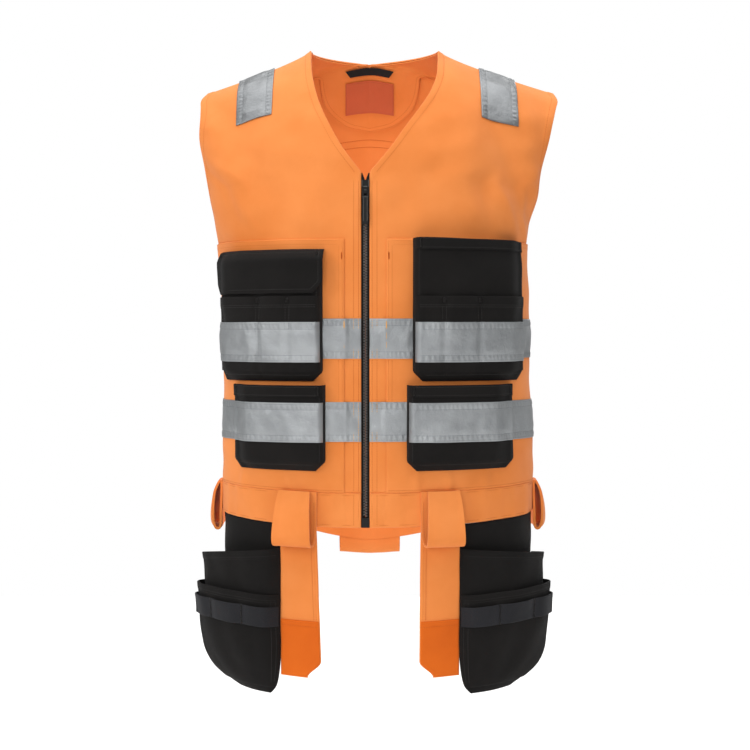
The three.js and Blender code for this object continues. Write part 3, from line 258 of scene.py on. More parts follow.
# Broad folds, as in the frame: panel, side, across, down, wide, long, turn in degrees, out.
FOLDS = [
    ("front", -1, 0.8, 0.42, 0.09, 0.4, 24, 0.16),
    ("front", -1, 0.6, 0.55, 0.1, 0.42, 20, -0.1),
    ("front", 1, 0.74, 0.52, 0.1, 0.34, -28, -0.22),
    ("front", 1, 0.9, 0.6, 0.07, 0.3, -34, 0.12),
    ("front", 1, 0.5, 0.66, 0.11, 0.4, -12, 0.12),
    ("back", -1, 0.75, 0.6, 0.11, 0.4, 24, -0.16),
    ("back", 1, 0.75, 0.6, 0.11, 0.4, -24, -0.16),
]

CREASE_GAIN = 1.9

# Finer creases of the cloth, in millimetres: panel, side, along, down, wide, long, turn, out.
CREASES = [
    ("front", -1, 150, 70, 12, 50, 40, 1.2),
    ("front", -1, 120, 60, 14, 60, 34, -1.0),
    ("front", -1, 60, 200, 16, 60, 8, 0.8),
    ("front", -1, 150, 215, 10, 34, 30, 1.0),
    ("front", 1, 155, 90, 12, 46, -38, 1.2),
    ("front", 1, 110, 120, 16, 60, -24, -1.0),
    ("front", 1, 60, 205, 14, 60, -6, 0.9),
    ("front", 1, 225, 230, 8, 30, -40, 1.3),
    ("front", 1, 60, 560, 5, 16, 4, 1.2),
    ("front", 1, 100, 562, 5, 14, -6, 1.2),
    ("front", 1, 150, 562, 6, 16, 8, 1.2),
    ("front", -1, 90, 562, 5, 14, 6, 1.1),
    ("front", -1, 160, 562, 6, 16, -8, 1.1),
    ("front", 1, 150, 196, 15, 42, -12, -2.6),
    ("front", 1, 180, 200, 9, 44, -28, 1.9),
    ("front", 1, 212, 176, 8, 40, -14, 1.7),
    ("front", -1, 160, 150, 11, 48, 24, 1.7),
    ("front", -1, 182, 168, 9, 44, 18, -1.5),
    ("back", -1, 60, 330, 18, 90, 10, 1.6),
    ("back", 1, 80, 300, 16, 80, -8, 1.6),
    ("back", -1, 180, 240, 14, 70, 26, 1.6),
    ("back", 1, 190, 230, 14, 70, -26, 1.6),
    ("back", -1, 110, 545, 7, 26, 5, 1.6),
    ("back", 1, 120, 545, 7, 26, -5, 1.6),
    ("back", 1, 30, 550, 7, 24, 0, 1.4),
]
SQUARENESS = 2.3
SHOULDER_BEND, BACK_BEND, NECK_ROUND = 0.8, 1.6, 0.5


def smooth(share):
    """A step from 0 to 1 with level ends: 3 t squared less 2 t cubed."""
    t = np.clip(share, 0.0, 1.0)
    return t * t * (3.0 - 2.0 * t)


def ridge(distance, wide):
    """A soft ridge, one high at distance 0."""
    return np.exp(-(distance / wide) ** 2)


def read(table, name, at, key="down"):
    """A table's column at any place, on a smooth curve through its rows."""
    x, y = np.array(table[key], float), np.array(table[name], float)
    at = np.asarray(at, float)
    last = len(x) - 1
    before, after = np.maximum(np.arange(last + 1) - 1, 0), np.minimum(np.arange(last + 1) + 1, last)
    slope = (y[after] - y[before]) / (x[after] - x[before])
    i = np.searchsorted(x[1:-1], at, side="left")
    span = x[i + 1] - x[i]
    t = np.clip((at - x[i]) / span, 0.0, 1.0)
    rise = (t ** 3 - 2 * t ** 2 + t) * slope[i] + (t ** 3 - t ** 2) * slope[i + 1]
    return y[i] * (1 - smooth(t)) + y[i + 1] * smooth(t) + rise * span


def inner_end(panel, side, down):
    """Where each row begins: x, y, z, how round its section is and how late it drops."""
    if panel == "front":
        neck = np.clip(down / NECK_DEPTH, 0, 1)
        half = np.maximum(NECK_HALF * read(NECKLINE, "half", neck), ZIP_GAP / 2)
        x = ZIP_SHIFT * read(NECKLINE, "shift", neck) + side * half
        y = -CHEST_FRONT * read(TORSO, "front", down / FRONT_LENGTH)
        bend = SHOULDER_BEND + np.clip(down / ARMHOLE_DEPTH, 0, 1)
        return x, y, -down, read(TORSO, "round", down / FRONT_LENGTH), bend
    start, middle = ZIP_SHIFT * NECKLINE["shift"][0], ZIP_SHIFT * BACK_NECK_SHIFT
    upper = np.clip(down / BACK_NECK_ROW, 0, 1)
    turn = math.pi / 2 * upper
    level = np.clip((down - BACK_NECK_ROW) / (ARMHOLE_DEPTH - BACK_NECK_ROW), 0, 1)
    longer = (BACK_LENGTH - FRONT_LENGTH) * smooth((down - RISE_FROM) / (FRONT_LENGTH - RISE_FROM))
    sunk = BACK_NECK_DROP + (ARMHOLE_DEPTH - BACK_NECK_DROP) * level
    deep = np.where(down > ARMHOLE_DEPTH, down + longer, sunk)
    round_neck = down < BACK_NECK_ROW
    rounded = start + (middle - start) * np.sin(turn) + side * NECK_HALF * np.cos(turn)
    x = np.where(round_neck, rounded, middle)
    depth = CHEST_BACK * read(BACK, "depth", deep / FRONT_LENGTH)
    y = np.where(round_neck, BACK_NECK_DEPTH * np.sin(turn), depth)
    z = np.where(round_neck, -BACK_NECK_DROP * (1 - np.cos(turn)), -deep)
    section = np.where(round_neck, 1 + NECK_ROUND * upper, read(BACK, "round", deep / FRONT_LENGTH))
    bend = np.where(round_neck, SHOULDER_BEND + (BACK_BEND - SHOULDER_BEND) * upper, BACK_BEND)
    return x, y, z, section, bend


def outer_end(panel, side, down):
    """Where each row ends: the armhole's edge, and below it the side seam."""
    hole = np.clip(down / ARMHOLE_DEPTH, 0, 1)
    overhang = (SHOULDER_HALF - BODY_HALF) * read(ARMHOLE, "out", hole)
    half = BODY_HALF * read(TORSO, "half", down / FRONT_LENGTH) + overhang
    rise = HEM_RISE * smooth((down - RISE_FROM) / (FRONT_LENGTH - RISE_FROM))
    x = BODY_LEAN * read(TORSO, "lean", down / FRONT_LENGTH) + side * half
    return x, ARMHOLE_REACH * read(ARMHOLE, panel, hole), -down - SHOULDER_DROP * (1 - hole) + rise


def unit(vectors):
    """Vectors of length one."""
    return vectors / np.maximum(np.linalg.norm(vectors, axis=-1, keepdims=True), 1e-9)


def panel_table(panel, side):
    """Points of a panel on a grid of rows down and equal shares along the cloth.

    A row is a quarter of a superellipse from its inner end to its outer end, cut again into
    steps of equal length.
    """
    down = np.arange(0.0, LAST_ROW, DOWN_STEP)
    x0, y0, z0, section, bend = (np.broadcast_to(v, down.shape)[:, None] for v in inner_end(panel, side, down))
    x1, y1, z1 = (np.broadcast_to(v, down.shape)[:, None] for v in outer_end(panel, side, down))
    turn = np.linspace(0, math.pi / 2, ROW_STEPS + 1)[None, :]
    along = np.sin(turn) ** (2 / SQUARENESS)
    back = np.maximum(0, np.cos(turn)) ** (2 / section)
    points = np.stack([x0 + (x1 - x0) * along, y1 + (y0 - y1) * back, z0 + (z1 - z0) * along ** bend], -1)
    steps = np.linalg.norm(np.diff(points, axis=1), axis=-1)
    lengths = np.concatenate([np.zeros((len(down), 1)), np.cumsum(steps, axis=1)], axis=1)
    share = np.linspace(0, 1, SHARES + 1)
    even = np.empty((len(down), SHARES + 1, 3))
    for row in range(len(down)):
        for axis in range(3):
            even[row, :, axis] = np.interp(share * lengths[row, -1], lengths[row], points[row, :, axis])
    across = np.gradient(even, axis=1)
    downwards = np.gradient(even, axis=0)
    outwards = -side if panel == "front" else side
    return {"points": even, "total": lengths[:, -1], "own": unit(np.cross(across, downwards) * outwards)}


TABLES = {(panel, side): panel_table(panel, side) for panel in ("front", "back") for side in (-1, 1)}


def row_length(panel, side, down):
    """Length of a row of cloth, from its inner end to its outer end."""
    total = TABLES[panel, side]["total"]
    return np.interp(down, np.arange(len(total)) * DOWN_STEP, total)


def blended_normals(panel, side):
    """Directions out of the cloth, eased together where two panels meet at a seam."""
    table = TABLES[panel, side]
    own = table["own"].copy()
    down = (np.arange(own.shape[0]) * DOWN_STEP)[:, None]
    along = np.linspace(0, 1, SHARES + 1)[None, :] * table["total"][:, None]
    both = unit(TABLES["front", side]["own"][0] + TABLES["back", side]["own"][0])[None]
    near = np.clip(1 - down / SEAM_BLEND, 0, 1)[..., None]
    own = own * (1 - near) + both * near
    if panel == "back":
        middle = unit(TABLES["back", -1]["own"][:, :1] + TABLES["back", 1]["own"][:, :1])
        near = np.clip(1 - along / SEAM_BLEND, 0, 1) * (down >= BACK_NECK_ROW)
        own = own * (1 - near[..., None]) + middle * near[..., None]
    near = np.clip(1 - (table["total"][:, None] - along) / SEAM_BLEND, 0, 1) * (down >= ARMHOLE_DEPTH)
    return unit(own * (1 - near[..., None]) + np.array([side, 0.0, 0.0]) * near[..., None])


for key, table in TABLES.items():
    table["normals"] = blended_normals(*key)


def sample(grid, panel, side, along, down):
    """A table's value between its grid points, mixed from the four nearest."""
    i = np.clip(down / DOWN_STEP, 0, grid.shape[0] - 1.001)
    j = np.clip(along / row_length(panel, side, down), 0, 1) * SHARES
    i0, j0 = np.floor(i).astype(int), np.minimum(np.floor(j).astype(int), SHARES - 1)
    u, v = (i - i0)[..., None], (j - j0)[..., None]
    upper = grid[i0, j0] * (1 - v) + grid[i0, j0 + 1] * v
    return upper * (1 - u) + (grid[i0 + 1, j0] * (1 - v) + grid[i0 + 1, j0 + 1] * v) * u


def ridges(rows, panel, side, along, down, row_size, size):
    """A sum of long soft ridges and hollows, from a table's rows for one panel."""
    out = np.zeros(np.broadcast(along, down).shape)
    for where, hand, across, low, wide, long, degrees, height in rows:
        if (where, hand) != (panel, side):
            continue
        turn = math.radians(degrees)
        x, y = along - across * row_size, down - low * size
        p, q = x * math.cos(turn) + y * math.sin(turn), y * math.cos(turn) - x * math.sin(turn)
        out = out + height * np.exp(-(p / (wide * size)) ** 2 - (q / (long * size)) ** 2)
    return out


def fold_out(panel, side, along, down):
    """How far the broad folds push the cloth out. They fade at the shoulder and above the pockets."""
    total = row_length(panel, side, down)
    out = ARMHOLE_REACH * ridges(FOLDS, panel, side, along, down, total, ARMHOLE_DEPTH)
    faded = smooth((PATCH_TOP - down) / (FOLD_FOOT * ARMHOLE_DEPTH))
    return out * smooth(down / (FOLD_HEAD * ARMHOLE_DEPTH)) * faded


def crease_out(panel, side, along, down):
    """Finer creases, shared by every layer at a place and level at the seams.

    They are long soft ridges from a table, and slow waves that drift across the cloth.
    """
    total = row_length(panel, side, down)
    out = ridges(CREASES, panel, side, along, down, 1, 1)
    phase = PHASE[panel] + side
    drift = DRIFT * np.sin(down / DRIFT_LENGTH + phase)
    wave = np.sin((along + drift) / WAVE["across"] + phase) * np.sin(down / WAVE["down"] + 2 * phase)
    slant = np.sin((along * SLANT["lean"] + down) / SLANT["along"] + 3 * phase)
    out = out + WAVE["height"] * wave + SLANT["height"] * slant * np.sin((along - down) / SLANT["across"])
    inner = smooth(along / LEVEL_AT["inner_front" if panel == "front" else "inner_back"])
    edges = inner * smooth((total - along) / LEVEL_AT["outer"]) * smooth(down / LEVEL_AT["top"])
    return CREASE_GAIN * out * edges


def place(panel, side, along, down, out):
    """Points on the vest, a distance out from the inside face of its cloth."""
    along, down, out = np.broadcast_arrays(np.asarray(along, float), np.asarray(down, float), out)
    table = TABLES[panel, side]
    lift = out + fold_out(panel, side, along, down) + crease_out(panel, side, along, down)
    normals = unit(sample(table["normals"], panel, side, along, down))
    return sample(table["points"], panel, side, along, down) + normals * lift[..., None]


def normal_at(panel, side, along, down):
    """The way out of the cloth at places on a panel."""
    along, down = np.broadcast_arrays(np.asarray(along, float), np.asarray(down, float))
    return unit(sample(TABLES[panel, side]["normals"], panel, side, along, down))


def zip_point(x, down, out):
    """Points beside the zip's middle line: across, down and out from between the two fronts."""
    x, down, out = np.broadcast_arrays(np.asarray(x, float), np.asarray(down, float), out)
    direction = normal_at("front", 1, np.zeros_like(down), down)
    direction[..., 0] = 0
    y, z = inner_end("front", 1, down)[1:3]
    return np.stack([ZIP_SHIFT + x, y, z], -1) + unit(direction) * out[..., None]


# Meshes

FINISHES = {}
THREADS = {}


def weld(points):
    """The same points with those at one place made one, and where each went."""
    kept, first, index = np.unique(np.round(points, 3), axis=0, return_index=True, return_inverse=True)
    return points[first], index.reshape(-1)


def add_piece(name, points, faces, slot, nodes=(), uv=None, body="vest", sharp=50, welded=True):
    """A mesh object from points in millimetres and faces that all have as many corners.

    Points at one place become one, and faces are turned so that the closed body's volume is above 0.
    """
    points, faces = np.asarray(points, float), np.asarray(faces, int)
    corner_uv = None if uv is None else uv[faces].reshape(-1, 2)
    if welded:
        points, index = weld(points)
        faces = index[faces]
    fan = faces[:, [0, 1, 2]]
    if faces.shape[1] == 4:
        fan = np.concatenate([fan, faces[:, [0, 2, 3]]])
    a, b, c = points[fan[:, 0]], points[fan[:, 1]], points[fan[:, 2]]
    if np.einsum("ij,ij->i", a - points[0], np.cross(b - points[0], c - points[0])).sum() < 0:
        faces = faces[:, ::-1]
        if corner_uv is not None:
            corner_uv = corner_uv.reshape(len(faces), -1, 2)[:, ::-1].reshape(-1, 2)
    mesh = bpy.data.meshes.new(name)
    mesh.from_pydata((points * MM).tolist(), [], faces.tolist())
    if corner_uv is not None:
        layer = mesh.uv_layers.new(name="cloth")
        layer.data.foreach_set("uv", corner_uv.astype(np.float32).ravel())
        mesh.validate()
    mesh.polygons.foreach_set("use_smooth", np.ones(len(mesh.polygons), dtype=bool))
    mesh.set_sharp_from_angle(angle=math.radians(sharp))
    mesh.update()
    piece = bpy.data.objects.new(name, mesh)
    bpy.context.scene.collection.objects.link(piece)
    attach(piece, body)
    if nodes:
        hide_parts(*nodes)
    FINISHES.setdefault(slot, []).append(piece)
    return piece


def wall(inside, outside, joined=None):
    """Corners and faces of a wall between two grids of points, closed round its four edges.

    From row joined on, the first column has no edge, because a second half meets it there.
    """
    rows, columns = inside.shape[:2]
    points = np.concatenate([inside.reshape(-1, 3), outside.reshape(-1, 3)])
    at = np.arange(rows * columns).reshape(rows, columns)
    far = at + rows * columns
    out = np.stack([far[:-1, :-1], far[1:, :-1], far[1:, 1:], far[:-1, 1:]], -1).reshape(-1, 4)
    within = np.stack([at[:-1, :-1], at[:-1, 1:], at[1:, 1:], at[1:, :-1]], -1).reshape(-1, 4)
    first = np.stack([at[:-1, 0], at[1:, 0], far[1:, 0], far[:-1, 0]], -1)[:joined]
    last = np.stack([far[:-1, -1], far[1:, -1], at[1:, -1], at[:-1, -1]], -1)
    top = np.stack([far[0, :-1], far[0, 1:], at[0, 1:], at[0, :-1]], -1)
    foot = np.stack([at[-1, :-1], at[-1, 1:], far[-1, 1:], far[-1, :-1]], -1)
    return points, np.concatenate([out, within, first, last, top, foot])


def spread(start, end, step=GRID, edge=EDGE_STEP):
    """Places from start to end at even steps, with one more close to each end."""
    count = max(2, int(math.ceil((end - start) / step)))
    middle = np.linspace(start, end, count + 1)[1:-1]
    kept = (middle > start + CLOSEST * edge) & (middle < end - CLOSEST * edge)
    return np.concatenate([[start, start + edge], middle[kept], [end - edge, end]])


def softened(shape, thick):
    """A wall's thickness over its grid, less along its outer edges, so that they look turned."""
    soft = np.broadcast_to(thick, shape).astype(float).copy()
    for end in (0, -1):
        soft[end] *= EDGE_SHARE
        soft[:, end] *= EDGE_SHARE
    return soft


def cloth_layer(name, panel, side, along, down, inner, thick, slot, nodes):
    """A piece of cloth on one panel: grids of places along and down, and the height of its inside face."""
    inner = np.broadcast_to(inner, along.shape)
    inside = place(panel, side, along, down, inner)
    outside = place(panel, side, along, down, inner + softened(along.shape, thick))
    points, faces = wall(inside, outside)
    uv = np.stack([along, down], -1).reshape(-1, 2) * MM
    return add_piece(name, points, faces, slot, nodes, np.concatenate([uv, uv]))


def back_layer(name, along, downs, inner, thick, slot, nodes):
    """A piece over both halves of the back. along(side, down) gives each row, inner(along, down) its height."""
    points, faces, uvs, first = [], [], [], 0
    joined = int(np.argmax(downs >= BACK_NECK_ROW - 0.5))
    for side in (-1, 1):
        s = np.stack([along(side, down) for down in downs])
        d = np.broadcast_to(downs[:, None], s.shape)
        base = np.broadcast_to(inner(s, d), s.shape)
        soft = softened(s.shape, thick(side, s, d) if callable(thick) else thick)
        soft[joined:, 0] = soft[joined:, 1]
        more, quads = wall(place("back", side, s, d, base), place("back", side, s, d, base + soft), joined)
        faces.append((quads[:, ::-1] if side < 0 else quads) + first)
        uv = np.stack([s * side, d], -1).reshape(-1, 2) * MM
        points.append(more)
        uvs.append(np.concatenate([uv, uv]))
        first += len(more)
    return add_piece(name, np.concatenate(points), np.concatenate(faces), slot, nodes, np.concatenate(uvs))


def add_threads(kind, starts, ends, outwards, width=0.55, height=0.4):
    """Many stitches at once: each is a long bead from its start to its end, widest in its middle stretch."""
    run = unit(ends - starts)
    over = unit(np.cross(outwards, run)) * (width / 2)
    up = unit(outwards) * (height / 2)
    near = starts * (1 - THREAD_TIP) + ends * THREAD_TIP
    far = starts * THREAD_TIP + ends * (1 - THREAD_TIP)
    rings = [middle + way for middle in (near, far) for way in (over, up, -over, -up)]
    sunk = up * THREAD_SUNK
    points = np.stack([starts - sunk, *rings, ends - sunk], 1)
    tips = [[0, k, k % 4 + 1] for k in (1, 2, 3, 4)] + [[9, k % 4 + 5, k + 4] for k in (1, 2, 3, 4)]
    sides = [[k, k + 4, k % 4 + 5] for k in (1, 2, 3, 4)] + [[k, k % 4 + 5, k % 4 + 1] for k in (1, 2, 3, 4)]
    shape = np.array(tips + sides)
    faces = shape[None] + (np.arange(len(points)) * points.shape[1])[:, None, None]
    THREADS.setdefault(kind, []).append((points.reshape(-1, 3), faces.reshape(-1, 3)))


def stitch_path(kind, path, outwards, pitch=3.2, cover=0.72, **size):
    """Running stitches at even steps along a path, each covering most of its step."""
    steps = np.linalg.norm(np.diff(path, axis=0), axis=-1)
    length = np.concatenate([[0], np.cumsum(steps)])
    count = max(1, int(length[-1] / pitch))
    begin = (np.arange(count) + STITCH_START) * length[-1] / count
    finish = begin + cover * length[-1] / count

    def at(places, values):
        """The values at places along the path, straight between its points."""
        return np.stack([np.interp(places, length, values[:, axis]) for axis in range(3)], -1)

    add_threads(kind, at(begin, path), at(finish, path), at((begin + finish) / 2, outwards), **size)


def stitch(kind, panel, side, along, down, out, **size):
    """A row of stitches over a panel through places along and down, a distance out."""
    count = max(FEWEST_PLACES, int((abs(np.ptp(along)) + abs(np.ptp(down))) / STITCH_PLACES))
    t, knots = np.linspace(0, 1, count), np.linspace(0, 1, len(np.atleast_1d(along)))
    s, d = np.interp(t, knots, along), np.interp(t, knots, down)
    height = out(s, d) if callable(out) else out
    stitch_path(kind, place(panel, side, s, d, height), normal_at(panel, side, s, d), **size)


def stitch_across(kind, panel, side, ends, down, out, **size):
    """A row of stitches at one place down, from one place along the cloth to another."""
    stitch(kind, panel, side, ends, [down, down], out, **size)


def stitch_down(kind, panel, side, along, ends, out, **size):
    """A row of stitches at one place along the cloth, from one place down to another."""
    stitch(kind, panel, side, [along, along], ends, out, **size)


def bartack(kind, side, along, down, out, length, width):
    """A short dense bar of thread that strengthens a seam on the front."""
    t = np.arange(0, length, TACK_PITCH) - length / 2
    height = out(along, down) if callable(out) else out
    first = place("front", side, along - width / 2, down + t, height)
    second = place("front", side, along + width / 2, down + t + TACK_SLANT, height)
    add_threads(kind, first, second, normal_at("front", side, along, down + 0 * t), **TACK_THREAD)


# Body of the vest

def hem(kind, distance):
    """How a turned hem changes the cloth's thickness at a distance in from its edge."""
    size = HEMS[kind]
    step = size["rise"] * smooth((size["reach"] - distance) / size["blend"])
    return step - size["deep"] * ridge(distance - size["row"], size["wide"])


def hem_rise(panel, side, along, down):
    """Turned hems round the neck and the armholes."""
    edge = row_length(panel, side, down) - along
    arm = np.where(down < ARMHOLE_DEPTH, edge, FAR_FROM_EDGE)
    neck = np.where(down < (NECK_DEPTH if panel == "front" else BACK_NECK_ROW), along, FAR_FROM_EDGE)
    return hem("body", arm) + hem("body", neck)


def side_end(panel, side, down):
    """How far along a row its cloth reaches: to the side seam, where it meets the next piece."""
    return row_length(panel, side, down) + np.where(down > ARMHOLE_DEPTH, SEAM_LAP, 0.0)


def row_grid(panel, side, downs, start=None, step=GRID):
    """Places along and down over a whole panel, from start(down) to its outer end."""
    shares = spread(0.0, FRONT_ROW, step) / FRONT_ROW
    begin = np.zeros_like(downs) if start is None else start(downs)
    end = side_end(panel, side, downs)
    return begin[:, None] + (end - begin)[:, None] * shares[None, :], np.repeat(downs[:, None], len(shares), 1)


def back_rows(length, step=GRID):
    """A function that gives each row of one half of the back, from its middle to the side seam."""
    shares = spread(0.0, length, step) / length

    def row(side, down):
        """Equal shares of the length of the row at this depth."""
        return shares * side_end("back", side, down)

    return row


def cut_from(widths, downs):
    """Turns a panel's row widths and places down into metres, and gives nothing back."""
    widths, downs = np.asarray(widths, float) * MM, np.asarray(downs, float) * MM


def patch_start(down):
    """Where the front's patch begins: in from the zip's edge, less so near the neck."""
    return PATCH_INSET * np.clip(down / NECK_DEPTH, 0.6, 1)


def flat_height(along, down):
    """The inside face of a layer that lies on nothing."""
    return 0.0


def patch_thick(along, down):
    """Thickness of the front's patch: a hem along its free edges, flat under the upper band."""
    inner = PATCH_HEM["side"] * smooth((PATCH_HEM["reach"] - (along - PATCH_INSET)) / HEM_BLEND)
    top = PATCH_HEM["top"] * smooth((PATCH_TOP + PATCH_HEM["reach"] - down) / HEM_BLEND)
    turned = np.minimum(inner * (down < LOWER_BAND) + top, PATCH_HEM["most"])
    band_end = UPPER_BAND + BAND_HEIGHT + PATCH_HEM["clear"]
    banded = (down > UPPER_BAND - PATCH_HEM["clear"]) & (down < band_end)
    return OVERLAY + np.where(banded, 0.0, turned)


def build_fronts():
    """The two fronts and the patch on each."""
    for side in (-1, 1):
        name = f"front_{SIDE_NAME[side]}"
        along, down = row_grid("front", side, spread(GAP / 2, WAIST_SEAM + SEAM_LAP))
        thick = CLOTH + hem_rise("front", side, along, down)
        front = cloth_layer(f"{name}_cloth", "front", side, along, down, 0.0, thick, "orange_cloth", [name])
        cut_from(np.ptp(along, axis=1), down[:, 0])
        along, down = row_grid("front", side, spread(PATCH_TOP, WAIST_SEAM + SEAM_LAP), patch_start)
        cloth_layer(f"{name}_patch_cloth", "front", side, along, down, PATCH_IN, patch_thick(along, down),
                    "orange_cloth", [f"front_patch_{SIDE_NAME[side]}"])


def build_back():
    """The yoke and the back below it."""
    def thick(side, s, d):
        """The cloth's thickness and the rise of its turned edges."""
        return CLOTH + hem_rise("back", side, s, d)

    yoke_downs = np.sort(np.append(spread(GAP / 2, YOKE_DEPTH + SEAM_LAP), BACK_NECK_ROW))
    panel_downs = spread(YOKE_DEPTH, WAIST_SEAM + SEAM_LAP)
    for name, downs in (("back_yoke", yoke_downs), ("back_panel", panel_downs)):
        rows = back_rows(BACK_ROW)
        piece = back_layer(f"{name}_cloth", rows, downs, flat_height, thick, "orange_cloth", [name])
        cut_from(side_end("back", -1, downs) + side_end("back", 1, downs), downs)


def stitch_edges(side):
    """Rows round the neck, the armhole and the waist on one side."""
    for panel in ("front", "back"):
        stitch_down("orange", panel, side, HEM_ROW, NECK_STITCHES[panel], CLOTH + HEM_LIFT)
        arms = np.linspace(*ARM_STITCHES, 80)
        edge = row_length(panel, side, arms) - HEM_ROW
        stitch("orange", panel, side, edge, arms, CLOTH + HEM_LIFT)
        for down, out in WAIST_ROWS:
            patched = panel == "front" and down < WAIST_SEAM
            ends = [2 + PATCH_INSET * patched, side_end(panel, side, down) - 2]
            stitch_across("orange", panel, side, ends, down, out + (PATCH_OUT - CLOTH) * patched)


def stitch_zip_edge(side):
    """Two rows beside the zip. They are pale where they hold the tape."""
    upper_end, lower_end = UPPER_BAND + BAND_HEIGHT, LOWER_BAND + BAND_HEIGHT
    on_tape = BAND_ON_CLOTH + BAND_THICK + 0.1
    for s in ZIP_ROWS:
        for kind, start, end, out in (
                ("orange", NECK_DEPTH + 5, UPPER_BAND - 1, CLOTH),
                ("yellow", UPPER_BAND, upper_end, on_tape),
                ("orange", upper_end + 1, LOWER_BAND - 1, CLOTH),
                ("yellow", LOWER_BAND, lower_end, on_tape),
                ("orange", lower_end + 1, WAIST_SEAM - 2, CLOTH),
                ("orange", WAIST_SEAM + 2, FRONT_LENGTH - 3, WAISTBAND_THICK)):
            stitch_down(kind, "front", side, s, [start, end], out + 0.1)


def stitch_patch(side):
    """Rows along the patch's free edges, and the slit's bartack and thick pale thread."""
    upper_end = UPPER_BAND + BAND_HEIGHT
    for inset, out in PATCH_SIDE_ROWS:
        for ends in ([PATCH_TOP + 2, UPPER_BAND - 1], [upper_end + 1, LOWER_BAND - 1]):
            stitch_down("orange", "front", side, PATCH_INSET + inset, ends, out)
    for row, out in PATCH_TOP_ROWS:
        ends = [PATCH_INSET + 2, side_end("front", side, PATCH_TOP + row) - 2]
        stitch_across("orange", "front", side, ends, PATCH_TOP + row, out)
    bartack("orange", side, PATCH_INSET + 3, UPPER_BAND - 78, PATCH_OUT + 0.5, **FLAT_TACK)
    stitch_down("yellow", "front", side, PATCH_INSET, [UPPER_BAND, UPPER_BAND + SLIT_LENGTH],
                BAND_ON_PATCH + BAND_THICK + 0.1, pitch=SLIT_LENGTH / 3, **SLIT_THREAD)


def build_seams():
    """Topstitching on the body."""
    for side in (-1, 1):
        stitch_edges(side)
        stitch_zip_edge(side)
        stitch_patch(side)


def waist_rise(along, down):
    """The waistband's gathers: short upright ripples that are deepest at its two seams."""
    edge = np.minimum(down - WAIST_SEAM, FRONT_LENGTH - down)
    rise = -WAIST_GROOVE["deep"] * ridge(edge - WAIST_GROOVE["row"], WAIST_GROOVE["wide"])
    for row in GATHERS:
        wander = row["wander"] * np.sin(along / row["slow"])
        rise = rise + row["height"] * np.sin(along / row["length"] + wander) * np.exp(-edge / row["reach"])
    return rise


def build_waistband():
    """The gathered band at the foot of the fronts and the back."""
    downs = spread(WAIST_SEAM, FRONT_LENGTH, CLOSE_STEP)
    for side in (-1, 1):
        name = f"waistband_{SIDE_NAME[side]}"
        along, down = row_grid("front", side, downs, step=CLOSE_STEP)
        thick = WAISTBAND_THICK + waist_rise(along, down)
        cloth_layer(f"{name}_cloth", "front", side, along, down, 0.0, thick, "orange_cloth", [name])

    def back_thick(side, s, d):
        """The waistband's thickness, its gathers, and the groove by each of its seams."""
        return WAISTBAND_THICK + waist_rise(s, d)

    back_layer("waistband_back_cloth", back_rows(BACK_ROW, CLOSE_STEP), downs, flat_height, back_thick,
               "orange_cloth", ["waistband_back"])


# Reflective tape

def tape_relief(along, edge, across, seed):
    """Relief of reflective tape: short ripples between its stitch rows, and slow slanting folds inside them.

    edge is the distance in from the nearer long edge, and across the distance from one of them.
    """
    wander = along + 1.3 * np.sin(along / 11 + seed) + 0.9 * np.sin(along / 5.3 + 2 * seed)
    ripple = np.sin(wander * 2 * math.pi / TAPE_RIPPLE["length"])
    ripple = ripple * TAPE_RIPPLE["height"] * ridge(edge - TAPE_RIPPLE["row"], TAPE_RIPPLE["wide"])
    slant = along / 5.2 + 1.8 * np.sin(along / 14 + seed) + across / 15
    crossing = np.sin(along / 19 + 2.3 * seed + across / 31)
    folds = (1 + np.sin(slant) * crossing) * smooth((edge - TAPE_FOLD["start"]) / TAPE_FOLD["blend"])
    grooves = sum(ridge(edge - row, TAPE_GROOVE_WIDE) for row in TAPE_ROWS[:2])
    return ripple + TAPE_FOLD["height"] * folds - TAPE_GROOVE * grooves


def tape_thick(along, down, top, seed=0.0):
    """Thickness of a band or strip whose long edges run along the cloth."""
    edge = np.minimum(down - top, top + BAND_HEIGHT - down)
    return BAND_THICK + tape_relief(along, edge, down - top, seed)


def band_height(along):
    """Height of a band's inside face: it steps up from the front's cloth on to the patch."""
    step = smooth((along - PATCH_INSET + 6 * OVERLAY) / (5 * OVERLAY))
    return BAND_ON_CLOTH + (BAND_ON_PATCH - BAND_ON_CLOTH) * step


def back_band_height(along, down):
    """Height of a band's inside face on the back: it rises a little towards the side seam."""
    return BAND_ON_CLOTH + SIDE_RISE * smooth((along - SIDE_RISE_FROM) / SIDE_RISE_OVER)


def build_bands():
    """Two bands round the body, each in three pieces."""
    def front_seam(s, d):
        """Just below the front tape's face, so that its stitches sit in it."""
        return band_height(s) + BAND_THICK - 0.15

    def back_seam(s, d):
        """The same on the back's tape."""
        return back_band_height(s, d) + BAND_THICK - 0.15

    for name, top in (("band_upper", UPPER_BAND), ("band_lower", LOWER_BAND)):
        downs = spread(top, top + BAND_HEIGHT, TAPE_ROW_STEP)
        for side in (-1, 1):
            node = f"{name}_{SIDE_NAME[side]}"
            along, down = row_grid("front", side, downs, step=TAPE_STEP)
            thick = tape_thick(along, down, top, side + top)
            cloth_layer(f"{node}_tape", "front", side, along, down, band_height(along), thick,
                        "reflective_tape", [node])
            for panel, start, height in (("front", 1.0, front_seam), ("back", 0.0, back_seam)):
                ends = [start, side_end(panel, side, top) - 1.5]
                for edge in TAPE_ROWS:
                    stitch_across("grey", panel, side, ends, top + edge, height)

        def thick_at(side, s, d):
            """The tape's thickness, its ripple running on from one half to the other."""
            return tape_thick(s * side, d, top, 2 + top)

        back_layer(f"{name}_back_tape", back_rows(BAND_ROW, TAPE_STEP), downs, back_band_height, thick_at,
                   "reflective_tape", [f"{name}_back"])


